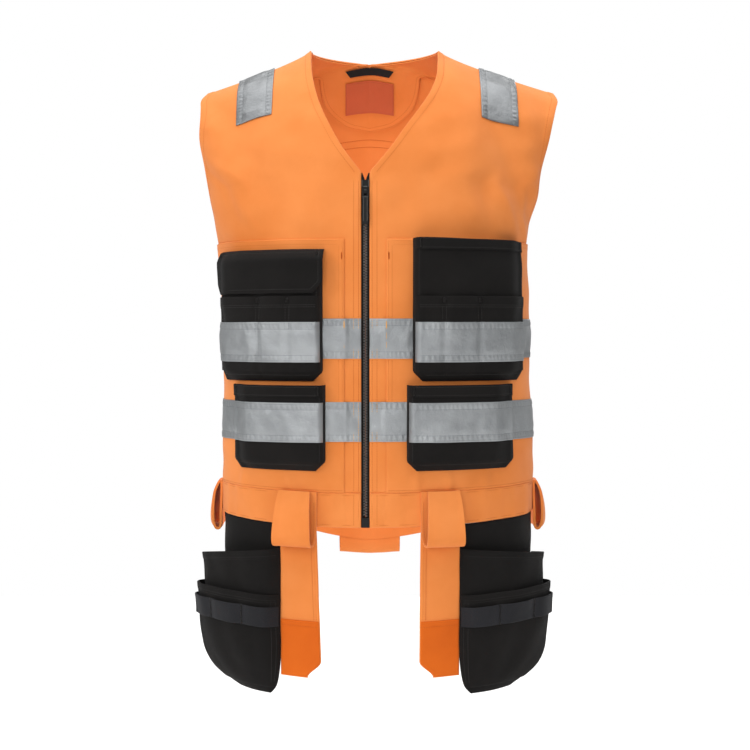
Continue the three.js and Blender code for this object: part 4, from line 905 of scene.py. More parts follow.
def along_at_x(panel, side, x, down):
    """Distances along one row at which its cloth reaches places across the body."""
    i = int(down / DOWN_STEP)
    mix = down / DOWN_STEP - i
    reached = TABLES[panel, side]["points"][..., 0]
    row = reached[i] * (1 - mix) + reached[i + 1] * mix
    total = float(row_length(panel, side, down))
    return np.interp(np.asarray(x) * side, row * side, np.linspace(0, total, SHARES + 1))


def build_shoulder_patches():
    """A band over each shoulder: rows run up the front to the seam and down the back."""
    for side in (-1, 1):
        start = SHOULDER_FROM[side]
        ends = [place_plain("front", side, s, 0.0)[0] for s in (start, start + SHOULDER_WIDTH)]
        across = spread(0.0, SHOULDER_WIDTH, SHOULDER_STEP)
        x = ends[0] + (ends[1] - ends[0]) * across / SHOULDER_WIDTH
        rise = spread(0.0, SHOULDER_LENGTH, SHOULDER_STEP)
        places = [("front", d) for d in rise[::-1]] + [("back", d) for d in rise[1:] if d < SHOULDER_BACK + 1]
        length = np.array([-d if panel == "front" else d for panel, d in places])
        edge_a = np.minimum(across, SHOULDER_WIDTH - across)[None, :]
        edge_b = np.minimum(length + SHOULDER_LENGTH, SHOULDER_BACK - length)[:, None]
        relief = tape_relief(length[:, None], edge_a, across[None, :], side)
        thick = BAND_THICK + relief - TAPE_END_GROOVE * ridge(edge_b - TAPE_ROWS[0], TAPE_GROOVE_WIDE)
        lift = PATCH_IN + LOOSE_GAP
        rows_in, rows_out = [], []
        soft = softened(thick.shape, thick)
        for k, (panel, down) in enumerate(places):
            s = along_at_x(panel, side, x, down)
            rows_in.append(place(panel, side, s, down, lift))
            rows_out.append(place(panel, side, s, down, lift + soft[k]))
        points, faces = wall(np.stack(rows_in), np.stack(rows_out))
        grid = np.stack(np.broadcast_arrays(across[None, :], length[:, None]), -1).reshape(-1, 2) * MM
        name = f"shoulder_patch_{SIDE_NAME[side]}"
        add_piece(f"{name}_tape", points, faces, "reflective_tape", [name], np.concatenate([grid, grid]))
        for edge in TAPE_ROWS:
            column = ends[0] + (ends[1] - ends[0]) * edge / SHOULDER_WIDTH
            path, way = [], []
            for panel, down in places:
                s = along_at_x(panel, side, [column], down)
                path.append(place(panel, side, s, down, lift + BAND_THICK - 0.1)[0])
                way.append(normal_at(panel, side, s, np.full(1, down))[0])
            stitch_path("grey", np.stack(path), np.stack(way))
        for down in SHOULDER_END_ROWS:
            s = along_at_x("front", side, x, down)
            path = place("front", side, s, down, lift + BAND_THICK - 0.1)
            stitch_path("grey", path, normal_at("front", side, s, np.full_like(s, down)))


def place_plain(panel, side, along, down):
    """One point of the body's surface, without folds."""
    along, down = np.array([along], float), np.array([down], float)
    return sample(TABLES[panel, side]["points"], panel, side, along, down)[0]


# Inside the back neck

def facing_grids(parts):
    """The neck facing's inside face, outside face and map, a row for each part of its height."""
    turns = np.linspace(-1, 1, 81)
    sides, sizes = np.where(turns < 0, -1, 1), np.abs(turns)
    top, low = (YOKE_DEPTH * read(FACING, name, sizes, "turn") for name in ("top", "low"))
    reach = NECK_HALF * read(FACING, "across", sizes, "turn")
    rows_in, rows_out, uvs = [], [], []
    for part in parts:
        down, across = top + (low - top) * part, reach * part
        turned = FACING_HEM["rise"] * float(smooth((part - FACING_HEM["start"]) / FACING_HEM["blend"]))
        for rows, out in ((rows_in, -INNER_GAP - OVERLAY - turned), (rows_out, -INNER_GAP)):
            halves = {side: place("back", side, across, down, out) for side in (-1, 1)}
            rows.append(np.where((sides < 0)[:, None], halves[-1], halves[1]))
        uvs.append(np.stack([across * sides, down], -1) * MM)
    return np.array(rows_in), np.array(rows_out), np.concatenate(uvs)


def build_inner_neck():
    """The facing, the hanger tape and the label, with their stitches and the yoke's."""
    parts = spread(0.0, 1.0, 0.06, 0.012)
    rows_in, rows_out, uv = facing_grids(parts)
    points, faces = wall(rows_in, rows_out)
    add_piece("neck_facing_cloth", points, faces, "orange_cloth", ["neck_facing"], np.concatenate([uv, uv]))
    for part in FACING_HEM["rows"]:
        row = int(np.argmin(np.abs(parts - part)))
        stitch_path("orange", rows_in[row], rows_in[row] - rows_out[row])
    for name, size in INNER_PIECES.items():
        inner_piece(name, **size)
    half, rows = LABEL_STITCHES["half"], LABEL_STITCHES["rows"]
    out, pitch = LABEL_STITCHES["out"], LABEL_STITCHES["pitch"]
    for side in (-1, 1):
        for down in rows:
            stitch_across("label", "back", side, [0, half], down, out, pitch=pitch)
        stitch_down("label", "back", side, half, rows, out, pitch=pitch)
        for offset in YOKE_ROWS_IN:
            stitch_across("orange", "back", side, [0, 90], YOKE_DEPTH + offset, -0.3, width=1.0, height=0.9)
        for offset in YOKE_ROWS_OUT:
            ends = [0, side_end("back", side, YOKE_DEPTH) - 2]
            stitch_across("orange", "back", side, ends, YOKE_DEPTH + offset, CLOTH + 0.1)


def inner_piece(name, half, top, foot, taper, lift, step, edge, slot):
    """A flat piece sewn inside the back neck, its lower edge shorter at each end."""
    shares = spread(0.0, 1.0, 0.08, 0.02)

    def rows(side, down):
        """Equal shares of half the piece, which narrows evenly to its foot."""
        return shares * (half - taper * (down - top) / (foot - top))

    def height(s, d):
        """A constant depth inside the cloth."""
        return -lift

    back_layer(f"{name}_cloth", rows, spread(top, foot, step, edge), height, INNER_THICK, slot, [name])


# Zip

def build_zip():
    """Both zip tapes, parting above the slider, then the teeth and the slider's details."""
    downs = spread(NECK_DEPTH - 5, FRONT_LENGTH - GAP, ZIP_STEP)
    columns, rise = (np.array(ZIP_SECTION[name]) for name in ("across", "rise"))
    for side in (-1, 1):
        along, down = np.meshgrid(columns + CHAIN_WIDTH / 2 + GAP, downs)
        opened = smooth((SLIDER_TOP - down) / ZIP_OPEN_OVER)
        x = along + ZIP_OPEN * opened
        lift = rise * (1 - opened) + ZIP_OPEN_RISE * opened
        inside = zip_point(side * x, down, -GAP - TAPE_THICK)
        points, faces = wall(inside, zip_point(side * x, down, -GAP + lift))
        uv = np.stack([along * side, down], -1).reshape(-1, 2) * MM
        name = f"zip_tape_{SIDE_NAME[side]}"
        add_piece(f"{name}_cloth", points, faces, "zip_tape", [name], np.concatenate([uv, uv]))
    build_teeth()
    build_slider_details()


def blocks(boxes):
    """Corners and faces of many boxes, each given as its two opposite corners."""
    boxes = np.asarray(boxes, float)
    pick = np.array([[i, j, k] for k in (0, 1) for j in (0, 1) for i in (0, 1)])
    points = boxes[:, pick, np.arange(3)]
    shape = np.array([[0, 2, 3, 1], [4, 5, 7, 6], [0, 1, 5, 4], [2, 6, 7, 3], [0, 4, 6, 2], [1, 3, 7, 5]])
    faces = shape[None] + (np.arange(len(boxes)) * 8)[:, None, None]
    return points.reshape(-1, 3), faces.reshape(-1, 4)


def at_pivot(points):
    """Points drawn round the puller's pivot, leant back against the chest and put in place."""
    x, y, z = points[:, 0], points[:, 1], points[:, 2]
    lean_y = y * math.cos(PIVOT_LEAN) - z * math.sin(PIVOT_LEAN)
    lean_z = y * math.sin(PIVOT_LEAN) + z * math.cos(PIVOT_LEAN)
    return np.stack([x, lean_y, lean_z], -1) + PIVOT


def beside(middle, half, low, high):
    """Two boxes, one on each side: their middle and half width across, and their other two corners."""
    return [[[side * middle - half, *low], [side * middle + half, *high]] for side in (-1, 1)]


def build_slider_details():
    """Raised ribs on the puller's face, and the slider's side walls and crown edges, in a paler plastic than
    the puller and slider: painted highlights.
    """
    face, wide = -PULLER_THICK / 2, PULLER_WIDTH / 2
    boxes = beside(RIB["across"] * wide, RIB["half"], (face - RIB["proud"], RIB["foot"] - PULLER_LENGTH),
                   (face + RIB["sunk"], RIB["top"]))
    reach = CROSS_RIB["across"] * wide
    boxes.append([[-reach, face - CROSS_RIB["proud"], CROSS_RIB["foot"]],
                  [reach, face + RIB["sunk"], CROSS_RIB["top"]]])
    points, faces = blocks(boxes)
    # Pale plastic on the puller's ribs: painted highlight.
    add_piece("puller_ribs_painted_highlight", at_pivot(points), faces, "zip_plastic", body="puller", sharp=20, welded=False)
    top, half = SLIDER_LENGTH - SLIDER_FOOT, (ZIP_GAP - 4 * GAP) / 2
    plate = PIVOT_HEIGHT - GAP - SLIDER_THICK / 2
    low, high = plate - SLIDER_EDGE["proud"], plate + SLIDER_EDGE["sunk"]
    edge = SLIDER_EDGE["half"]
    boxes = beside(half - edge, edge, (low, SLIDER_EDGE["foot"] * top), (high, top))
    reach = SLIDER_BAR["across"] * half
    boxes.append([[-reach, low, SLIDER_BAR["foot"] * top], [reach, high, SLIDER_BAR["top"] * top]])
    points, faces = blocks(boxes)
    # Pale plastic on the slider's walls and crown edges: painted highlight.
    add_piece("slider_walls_painted_highlight", at_pivot(points), faces, "zip_plastic", sharp=20, welded=False)


def build_teeth():
    """Moulded teeth: blocks in two staggered columns, each with a smaller top than foot."""
    first = SLIDER_TOP + SLIDER_LENGTH + GAP + TOOTH_CLEAR
    last = FRONT_LENGTH - ZIP_BOX - 2 * GAP - TOOTH_CLEAR
    foot = np.array([(-1, -1), (1, -1), (1, 1), (-1, 1)]) * TOOTH_HALF
    parts = []
    for side in (-1, 1):
        downs = np.arange(first + (TOOTH_PITCH / 2 if side > 0 else 0), last, TOOTH_PITCH)
        rings = []
        for scale, out in TOOTH_RINGS:
            x = side * TOOTH_OUT + foot[None, :, 0] * scale
            rings.append(zip_point(x, downs[:, None] + foot[None, :, 1] * scale, out))
        parts.append(np.concatenate(rings, axis=1))
    points = np.concatenate(parts)
    between = [[a + r, (a + 1) % 4 + r, (a + 1) % 4 + r + 4, a + r + 4] for r in (0, 4) for a in range(4)]
    shape = np.array([[3, 2, 1, 0], [8, 9, 10, 11], *between])
    faces = shape[None] + (np.arange(len(points)) * points.shape[1])[:, None, None]
    add_piece("zip_teeth", points.reshape(-1, 3), faces.reshape(-1, 4), "zip_plastic", ["zip_chain"], sharp=20,
              welded=False)


# Patch pockets

class Pocket:
    """One patch pocket: its places, the height of its face, and ways to lay cloth and stitches on it."""

    def __init__(self, name, side, start, width, splits):
        """Its places and widths, in millimetres."""
        self.name, self.side, self.width, self.splits = name, side, width, splits
        self.start = start * BODY_HALF
        self.end = self.start + width
        self.upper = name.startswith("upper")
        self.flapped = name == "upper_right_pocket"
        if self.upper:
            self.top = FLAP_TOP + WELT + GAP if self.flapped else PATCH_TOP
            self.bottom, self.strip, self.cells = POCKET_BOTTOM, UPPER_BAND + 3 * OVERLAY, UPPER_CELLS
        else:
            self.top, self.bottom, self.strip, self.cells = LOW_TOP, LOW_BOTTOM, LOWER_BAND, LOWER_CELLS
        self.cut = self.bottom - CHAMFER
        self.left, self.right = self.start + FACE_EDGE, self.end - FACE_EDGE

    def columns(self):
        """Places across: close together round each gusset, even over the face."""
        gusset = GUSSET * np.array(GUSSET_STEPS)
        count = int((self.width - 2 * GUSSET) / MIDDLE_STEP)
        face = np.linspace(GUSSET, self.width - GUSSET, count)[1:-1]
        return self.start + np.concatenate([gusset, face, self.width - gusset[::-1]])

    def taper(self, s):
        """Share of the fullness across: full, but falling over the outermost cell to the low outer side."""
        reach = 2 * (self.width - 2 * GUSSET) / self.cells
        return 1 - (1 - OUTER_FULLNESS) * smooth((s - (self.end - GUSSET - reach)) / reach)

    def squeezed(self, s, d):
        """Places across drawn in over the lowest rows, which cuts the pocket's two lower corners."""
        share = np.clip((d - self.cut) / CHAMFER, 0, 1)
        drawn = self.start + CHAMFER + (s - self.start) * (self.width - 2 * CHAMFER) / self.width
        return s * (1 - share) + drawn * share

    def bulge(self, s, d):
        """How far the face stands out: full but for its gussets, foot and stitched divisions."""
        edge = np.minimum(s - self.start, self.end - s)
        side_share = np.sin(math.pi / 2 * np.clip(edge / GUSSET, 0, 1)) ** 0.6
        foot = np.interp(d, [self.strip + BAND_HEIGHT, self.cut, self.bottom], [1, CUT_FULLNESS, 0])
        level = np.clip((d - self.top) / (self.bottom - self.top), 0, 1)
        face = smooth((edge - GUSSET) / 30) * np.sin(math.pi * level) ** 0.7
        height = POCKET_BELLY * side_share * foot * self.taper(s) + FACE_FULLNESS * face
        height = height + FACE_RIPPLE * np.sin(s / 9.5 + d / 21) * smooth((edge - GUSSET) / 8) * foot
        for split in self.splits:
            height = height - SPLIT_DEPTH * ridge(s - split, SPLIT_WIDE) * smooth((d - PEN_TOP) / 6) * foot
        return height

    def gape(self, s, d):
        """How far the pen layer stands off: it opens at its top between the divisions."""
        height = GAPE * smooth((PEN_TOP + GAPE_LENGTH - d) / GAPE_LENGTH)
        for line in [self.start + GAPE_EDGE, *self.splits, self.end - GAPE_EDGE]:
            height = height * smooth(np.abs(s - line) / GAPE_WIDTH)
        return GAP + height

    def over(self, extra):
        """A function that gives the height of the face's outer side and a distance more."""
        def height(s, d):
            """The face's bulge, its cloth and the extra."""
            return POCKET_IN + self.bulge(s, d) + CLOTH + (extra(s, d) if callable(extra) else extra)
        return height

    def layer(self, part, downs, lift, thick, slot="black_cloth", step=2.2):
        """A layer that lies on the face between the gussets."""
        s = spread(self.start + LAYER_EDGE, self.end - LAYER_EDGE, step)
        along, down = np.meshgrid(s, downs)
        cloth_layer(f"{self.name}_{part}_cloth", "front", self.side, along, down, self.over(lift)(along, down),
                    thick(along, down), slot, [f"{self.name}_{part}"])

    def across(self, kind, down, height, ends=None):
        """A row of stitches across the face."""
        stitch_across(kind, "front", self.side, ends or [self.left, self.right], down, self.over(height))

    def down(self, kind, s, ends, height):
        """A row of stitches down the face."""
        stitch_down(kind, "front", self.side, s, ends, self.over(height))

    def tack(self, s, down, height, size):
        """A bartack on the face."""
        bartack("black", self.side, s, down, self.over(height), **size)

    def build_pouch(self):
        """The pouch itself, hemmed at its mouth and creased along its gussets."""
        columns = self.columns()
        along, down = np.meshgrid(columns, spread(self.top, self.bottom, MIDDLE_STEP))
        edge = np.minimum(along - self.start, self.end - along)
        turned = smooth((self.top + POUCH_HEM["reach"] - down) / HEM_BLEND) * smooth((edge - GUSSET) / 2)
        thick = CLOTH + POUCH_HEM["rise"] * turned + POUCH_HEM["edge"] * ridge(edge - GUSSET, POUCH_HEM["wide"])
        cloth_layer(f"{self.name}_cloth", "front", self.side, self.squeezed(along, down), down,
                    POCKET_IN + self.bulge(along, down), thick, "black_cloth", [self.name])

    def build_pen_layer(self):
        """The layer that makes the pen slots, with two rows along its top."""
        def thick(s, d):
            """The layer's thickness, and the rise of the hem along its top."""
            return OVERLAY + PEN_HEM["rise"] * smooth((PEN_TOP + PEN_HEM["reach"] - d) / HEM_BLEND)

        def lift(s, d):
            """The face of the layer, which gapes, where its rows of stitches lie."""
            return PEN_ROW_LIFT + self.gape(s, d)

        self.layer("pen_layer", spread(PEN_TOP, self.cut, CLOSE_STEP), self.gape, thick)
        for row in PEN_ROWS:
            self.across("black", PEN_TOP + row, lift)

    def build_strip(self):
        """The reflective strip, and the divisions stitched down through it."""
        def thick(s, d):
            """The tape's thickness, with a ripple of this pocket's own."""
            return tape_thick(s, d, self.strip, self.start + self.side)

        lift = GAP + (OVERLAY + GAP) * self.upper
        on_tape, strip_end = lift + BAND_THICK, self.strip + BAND_HEIGHT
        downs = spread(self.strip, strip_end, TAPE_ROW_STEP)
        self.layer("strip", downs, lift, thick, "reflective_tape", TAPE_STEP)
        for row in TAPE_ROWS:
            self.across("grey", self.strip + row, on_tape - 0.1)
        for split in self.splits:
            for offset in (-SPLIT_OFFSET, SPLIT_OFFSET):
                self.down("black", split + offset, [PEN_TOP + 2, self.strip], lift + 0.2)
                self.down("grey", split + offset, [self.strip, strip_end], on_tape + 0.05)
            self.tack(split, PEN_TOP + 5, lift + 1.2, SPLIT_TACK)

    def build_welt(self):
        """The doubled mouth of a pocket without a flap."""
        def thick(s, d):
            """The welt's thickness and the rise of its turned lower edge."""
            turned = smooth((d - self.top - WELT + WELT_HEM["reach"]) / WELT_HEM["blend"])
            return OVERLAY + WELT_HEM["rise"] * turned

        self.layer("welt", spread(self.top, self.top + WELT, FINE_STEP), GAP, thick)
        for row in WELT_ROWS:
            self.across("black", self.top + row, OVERLAY + 0.45)
        for s in (self.left + 1, self.right - 1):
            self.tack(s, self.top + WELT / 2, OVERLAY + 0.4, WELT_TACK)

    def build(self):
        """All the pocket's pieces and stitches but for a flap."""
        self.build_pouch()
        if self.upper:
            self.build_pen_layer()
        self.build_strip()
        if not self.flapped:
            self.build_welt()
        for s in (self.left - 0.6, self.right + 0.6):
            self.down("black", s, [self.top + 2, self.cut], 0.2)
        self.across("black", self.cut + 4, 0.2, [self.left + 8, self.right - 8])
        for s in (self.start + 1.1, self.end - 1.1):
            self.down("black", s, [self.top + 2, self.cut], 0.05)


def build_flap(pocket):
    """The flap over the upper right pocket, with its two lower corners cut."""
    start, width, side, bottom = pocket.start, pocket.width, pocket.side, FLAP_TOP + FLAP_LENGTH
    downs = spread(FLAP_TOP, bottom, 2.4)
    shares = spread(0.0, width, MIDDLE_STEP) / width
    cut = np.clip((downs - FLAP_TOP - FLAP_LOW * FLAP_LENGTH) / ((1 - FLAP_LOW) * FLAP_LENGTH), 0, 1)
    begin, end = start - FLAP_OVERLAP + CHAMFER * cut, pocket.end + FLAP_OVERLAP - CHAMFER * cut
    along = begin[:, None] + (end - begin)[:, None] * shares[None, :]
    down = np.repeat(downs[:, None], len(shares), 1)

    def under(s, d):
        """Height of the flap's inner face: from the front at its seam up over the pouch."""
        lying = POCKET_IN + POCKET_BELLY * pocket.taper(s) + CLOTH + 2 * GAP
        up = BAND_ON_PATCH + (lying - BAND_ON_PATCH) * np.clip((d - FLAP_TOP) / (WELT - 2), 0, 1) ** 0.6
        share = np.clip((s - start) / width, 0, 1)
        return up + FLAP_ROUND * np.sin(math.pi * share) ** 0.6 * smooth((d - FLAP_TOP) / 20)

    def over(s, d):
        """The flap's outer face, a little inside it."""
        return under(s, d) + FLAP_THICK - 0.2

    border = np.minimum(np.minimum(shares, 1 - shares)[None, :] * width, bottom - down)
    thick = FLAP_THICK + hem("flap", border) - 0.3 * ridge(down - FLAP_TOP - FLAP_ROW, 1.0)
    name = f"{pocket.name}_flap"
    cloth_layer(f"{name}_cloth", "front", side, along, down, under(along, down), thick, "black_cloth", [name])
    s0, s1, d0 = start + 3, pocket.end - 3, FLAP_TOP + 3
    outline_s = [s0, s0, s0 + 9, s1 - 9, s1, s1]
    outline_d = [d0, bottom - 15, bottom - FLAP_ROW, bottom - FLAP_ROW, bottom - 15, d0]
    stitch("black", "front", side, outline_s, outline_d, over)
    stitch_across("black", "front", side, [s0, s1], FLAP_TOP + FLAP_ROW, over)
    for s in (s0 + 2, s1 - 2):
        bartack("black", side, s, FLAP_TOP + 8, over, **FLAT_TACK)


# Belt loops

def loop_frames(stations):
    """Seat, fall, way out and way across of a strap at stations across it, on the waist seam."""
    seats, falls, outs, turns = [], [], [], []
    for panel, side, along in stations:
        top = place(panel, side, np.array([along]), WAIST_SEAM, 0.0)[0]
        hem = place(panel, side, np.array([along]), FRONT_LENGTH, 0.0)[0]
        fall = unit(hem - top)
        out = normal_at(panel, side, [along], [WAIST_SEAM])[0]
        out = unit(out - fall * out.dot(fall))
        turn = unit(np.cross(fall, out)) * (side if panel == "front" else -side)
        seats.append(top + out * (WAISTBAND_THICK + 2 * GAP + LOOP_THICK / 2))
        falls.append(fall)
        outs.append(out)
        turns.append(turn)
    return [np.array(v) for v in (seats, falls, outs, turns)]


def build_loop(name, stations, sag, length=LOOP_LENGTH, depth=LOOP_DEPTH, twist=0.0):
    """A strap that hangs from the waist seam, turns up at its foot and comes back to the seam.

    Its side view is a smooth curve through a table, carried across the stations.
    """
    seats, falls, outs, turns = loop_frames(stations)
    knots = np.linspace(0, 1, len(stations))
    across = spread(0.0, 1.0, 0.07, 0.02)

    def between(values):
        """The values at places across the strap, straight between its stations."""
        return np.stack([np.interp(across, knots, values[:, axis]) for axis in range(3)], -1)

    seat, fall, out, turn = between(seats), unit(between(falls)), unit(between(outs)), unit(between(turns))
    t = np.linspace(0, 10, 90)
    drop, reach = read(LOOP, "drop", t, "step") * length, read(LOOP, "out", t, "step") * depth
    step_d, step_o = np.gradient(drop), np.gradient(reach)
    size = np.hypot(step_d, step_o)
    side_o, side_d = step_d / size, -step_o / size
    edge = np.minimum(across, 1 - across)[None, :] * np.linalg.norm(np.ptp(seat, axis=0))
    free = smooth(t / 2) * smooth((10 - t) / 2)
    wave = 0.5 * sag * np.sin(across[None, :] * 5 + t[:, None] * 0.9) * free[:, None]
    half = LOOP_THICK / 2 + hem("loop", edge)

    def grid(lift):
        """The strap's face at a lift along its side view's normal, with its wave and twist."""
        o = reach[:, None] + side_o[:, None] * lift + wave
        d = drop[:, None] + side_d[:, None] * lift
        narrow = (across[None, :] - 0.5) * 1.3 * twist * smooth((t[:, None] - 5) / 5)
        drift = twist * smooth((4.5 - t[:, None]) / 3) + narrow
        return seat + out * o[..., None] + fall * d[..., None] + turn * drift[..., None]

    points, faces = wall(grid(-half), grid(half))
    run = np.cumsum(size)
    uv = np.stack(np.broadcast_arrays(across[None, :] * LOOP_WIDTH, run[:, None]), -1).reshape(-1, 2) * MM
    add_piece(f"{name}_cloth", points, faces, "orange_cloth", [name], np.concatenate([uv, uv]))
    outer = grid(half + 0.1)
    for column in (2, -3):
        way = unit(np.gradient(outer, axis=0)[4:-4, column])
        stitch_path("orange", outer[4:-4, column], np.cross(turn[column], way))
    steps = np.arange(0, 9, TACK_PITCH)[:, None] - 1
    for share in (0.15, 0.85):
        base = outer[-6, int(share * (len(across) - 1))]
        starts = base + fall[0] * steps + out[0] * 0.3 - turn[0] * LOOP_TACK / 2
        ends = starts + turn[0] * LOOP_TACK
        add_threads("orange", starts, ends, np.broadcast_to(out[0], starts.shape), **TACK_THREAD)


def build_loops():
    """Two loops in front, one over each side seam and one at the back."""
    for name, (side, middle) in FRONT_LOOPS.items():
        stations = [("front", side, middle * BODY_HALF + LOOP_WIDTH * k) for k in (-0.5, -0.25, 0, 0.25, 0.5)]
        build_loop(name, stations, FRONT_SAG, twist=FRONT_TWIST)
    for side in (-1, 1):
        front, back = (float(row_length(panel, side, WAIST_SEAM)) for panel in ("front", "back"))
        stations = [("front", side, front - LOOP_WIDTH * k) for k in (0.5, 0.25)]
        stations += [("back", side, back - LOOP_WIDTH * k) for k in (0, 0.25, 0.5)]
        build_loop(f"side_loop_{SIDE_NAME[side]}", stations, SIDE_SAG, SIDE_LOOP_LENGTH, SIDE_LOOP_DEPTH)
    stations = [("back", -1, BACK_LOOP * k) for k in (0.5, 0.25)]
    stations += [("back", 1, BACK_LOOP * k) for k in (0, 0.25, 0.5)]
    build_loop("back_loop", stations, BACK_SAG, BACK_LOOP_LENGTH)


# Hanging tool pockets

class ToolPocket:
    """One hanging tool pocket: an orange panel, and beside it black pouches that stand off the hip.

    A place on the pouches is a share of their width and a place down.
    """

    def __init__(self, name, side, orange, low, black, full):
        """Its places down, its width, and how far each layer stands off."""
        self.name, self.side, self.orange, self.low, self.full = name, side, orange, low, full
        self.seam = black * BODY_HALF
        self.width = float(row_length("front", side, FRONT_LENGTH)) - TOOL_HIP_GAP - self.seam
        self.top, self.foot = FRONT_LENGTH + GAP, FRONT_LENGTH + TOOL_PANEL
        self.mouth, self.second = FRONT_LENGTH + TOOL_DROP, FRONT_LENGTH + SMALL_DROP
        self.strap = FRONT_LENGTH + WEBBING_DROP
        self.large_in = CLOTH + LOOSE_GAP
        self.small_in = self.large_in + CLOTH + LOOSE_GAP
        self.strap_in = self.small_in + CLOTH + LOOSE_GAP

    def panel_grid(self, downs, inset):
        """The orange panel: from its slanting inner edge to the black cloth, with its lower corner cut."""
        edge = BODY_HALF * (self.orange + (self.low - self.orange) * (downs - self.top) / TOOL_PANEL)
        begin = edge + TOOL_CHAMFER * smooth((downs - self.foot + TOOL_CUT) / TOOL_CUT) + inset
        shares = spread(0.0, PANEL_ROW, CLOSE_STEP) / PANEL_ROW
        along = begin[:, None] + (self.seam - GAP - inset - begin)[:, None] * shares[None, :]
        return along, np.repeat(downs[:, None], len(shares), 1)

    def across_at(self, at, down):
        """Distance along the cloth at a share of the pouches' width."""
        share = (down - FRONT_LENGTH) / TOOL_BOTTOM
        start, end = read(TOOL_OUTLINE, "from", share), read(TOOL_OUTLINE, "to", share)
        return self.seam + self.width * (start + (end - start) * at)

    def belly(self, at, down):
        """How far the large pocket stands out: its profile across, times its fullness down."""
        share = (down - FRONT_LENGTH) / TOOL_BOTTOM
        profile = read(TOOL_ACROSS, "out", at, "at") * read(TOOL_BELLY, "out", share)
        ripple = np.sin(at * 21 + down / 24) * np.sin(math.pi * at) * smooth((1 - share) / 0.2)
        return TOOL_BELLY_DEPTH * self.full * profile + TOOL_RIPPLE * ripple

    def lip(self, at, down):
        """How far the small pocket stands off the large one."""
        rows = np.clip(read(SMALL_LIP, "out", down - FRONT_LENGTH, "step"), 0, 1)
        return SMALL_OPENING * rows * read(TOOL_ACROSS, "out", at, "at")

    def sloped(self, at, down):
        """The large pocket's rows: its mouth sinks outwards, and the rows below it close up to the foot."""
        return down + MOUTH_SLOPE * at * np.clip(1 - (down - self.mouth) / SMALL_DROP, 0, 1)

    def slack(self, at):
        """How far the webbing stands off: nothing at its bartacks, and its slack between them."""
        nearest = np.min(np.abs(np.asarray(at)[..., None] - TACKS), axis=-1)
        return WEBBING_SLACK * smooth(nearest / TACK_REACH) + 0.35 * smooth(at / 0.05)

    def over(self, base, extra=flat_height):
        """A function that gives the height of a pouch's outer side at places on the front."""
        def height(s, d):
            """The base, the pouch's belly at the share across, and the extra."""
            left, right = self.across_at(0.0, d), self.across_at(1.0, d)
            at = np.clip((s - left) / (right - left), 0, 1)
            return base + self.belly(at, d) + extra(at, d)
        return height

    def pouch(self, node, at, down, inner, thick, slot="black_cloth", piece=None):
        """A layer of the black pouches."""
        cloth_layer(f"{piece or node}_cloth", "front", self.side, self.across_at(at, down), down, inner, thick,
                    slot, [node])

    def build_panel(self):
        """The orange panel and the patch at its foot, with their stitches."""
        patch_top = self.foot - TOOL_PATCH
        along, down = self.panel_grid(spread(self.top, self.foot, 3.0), 0.0)
        border = np.minimum(along - along[:, :1], self.foot - down)
        cloth_layer(f"{self.name}_front_panel_cloth", "front", self.side, along, down, 0.0,
                    CLOTH + hem("tool_panel", border), "orange_cloth", [f"{self.name}_front_panel"])
        along, down = self.panel_grid(spread(patch_top, self.foot - OVERLAY, CLOSE_STEP), OVERLAY)
        border = np.minimum(np.minimum(along - along[:, :1], self.foot - down), down - patch_top)
        cloth_layer(f"{self.name}_front_patch_cloth", "front", self.side, along, down, PATCH_IN,
                    OVERLAY + hem("tool_patch", border), "orange_cloth", [f"{self.name}_front_patch"])
        for row in TOOL_PATCH_ROWS:
            ends = [self.orange * BODY_HALF - 1, self.seam - 3]
            stitch_across("orange", "front", self.side, ends, patch_top + row, PATCH_OUT + 0.45)
        for row in TOOL_EDGE_ROWS:
            slant = self.orange + 0.62 * (self.low - self.orange)
            ends = [BODY_HALF * self.orange + row, BODY_HALF * slant + row]
            stitch("orange", "front", self.side, ends, [self.top + 3, patch_top - 1], CLOTH + 0.4)

    def build_pouches(self):
        """The black back panel, the large and small pockets on it, and the webbing over both."""
        at_lines = spread(0.0, 1.0, 0.021, 0.006)
        bottom = FRONT_LENGTH + TOOL_BOTTOM
        at, down = np.meshgrid(at_lines, spread(self.top, bottom, 3.2))
        self.pouch(f"{self.name}_back_panel", at, down, 0.0, CLOTH)
        at, down = np.meshgrid(at_lines, spread(self.mouth, bottom, MIDDLE_STEP))
        thick = CLOTH + hem("large_mouth", down - self.mouth)
        down = self.sloped(at, down)
        self.pouch(self.name, at, down, self.large_in + self.belly(at, down), thick, piece=f"{self.name}_large")
        small_foot = FRONT_LENGTH + SMALL_FOOT * TOOL_BOTTOM
        at, down = np.meshgrid(at_lines, spread(self.second, small_foot, MIDDLE_STEP))
        stands = self.belly(at, down) + self.lip(at, down)
        thick = CLOTH + hem("small_mouth", down - self.second)
        self.pouch(f"{self.name}_small", at, down, self.small_in + stands, thick)
        at, down = np.meshgrid(at_lines, spread(self.strap, self.strap + WEBBING_WIDTH, FINE_STEP, 0.5))
        stands = self.belly(at, down) + self.lip(at, down) + self.slack(at)
        self.pouch(f"{self.name}_webbing", at, down, self.strap_in + stands, OVERLAY, "dark_webbing")

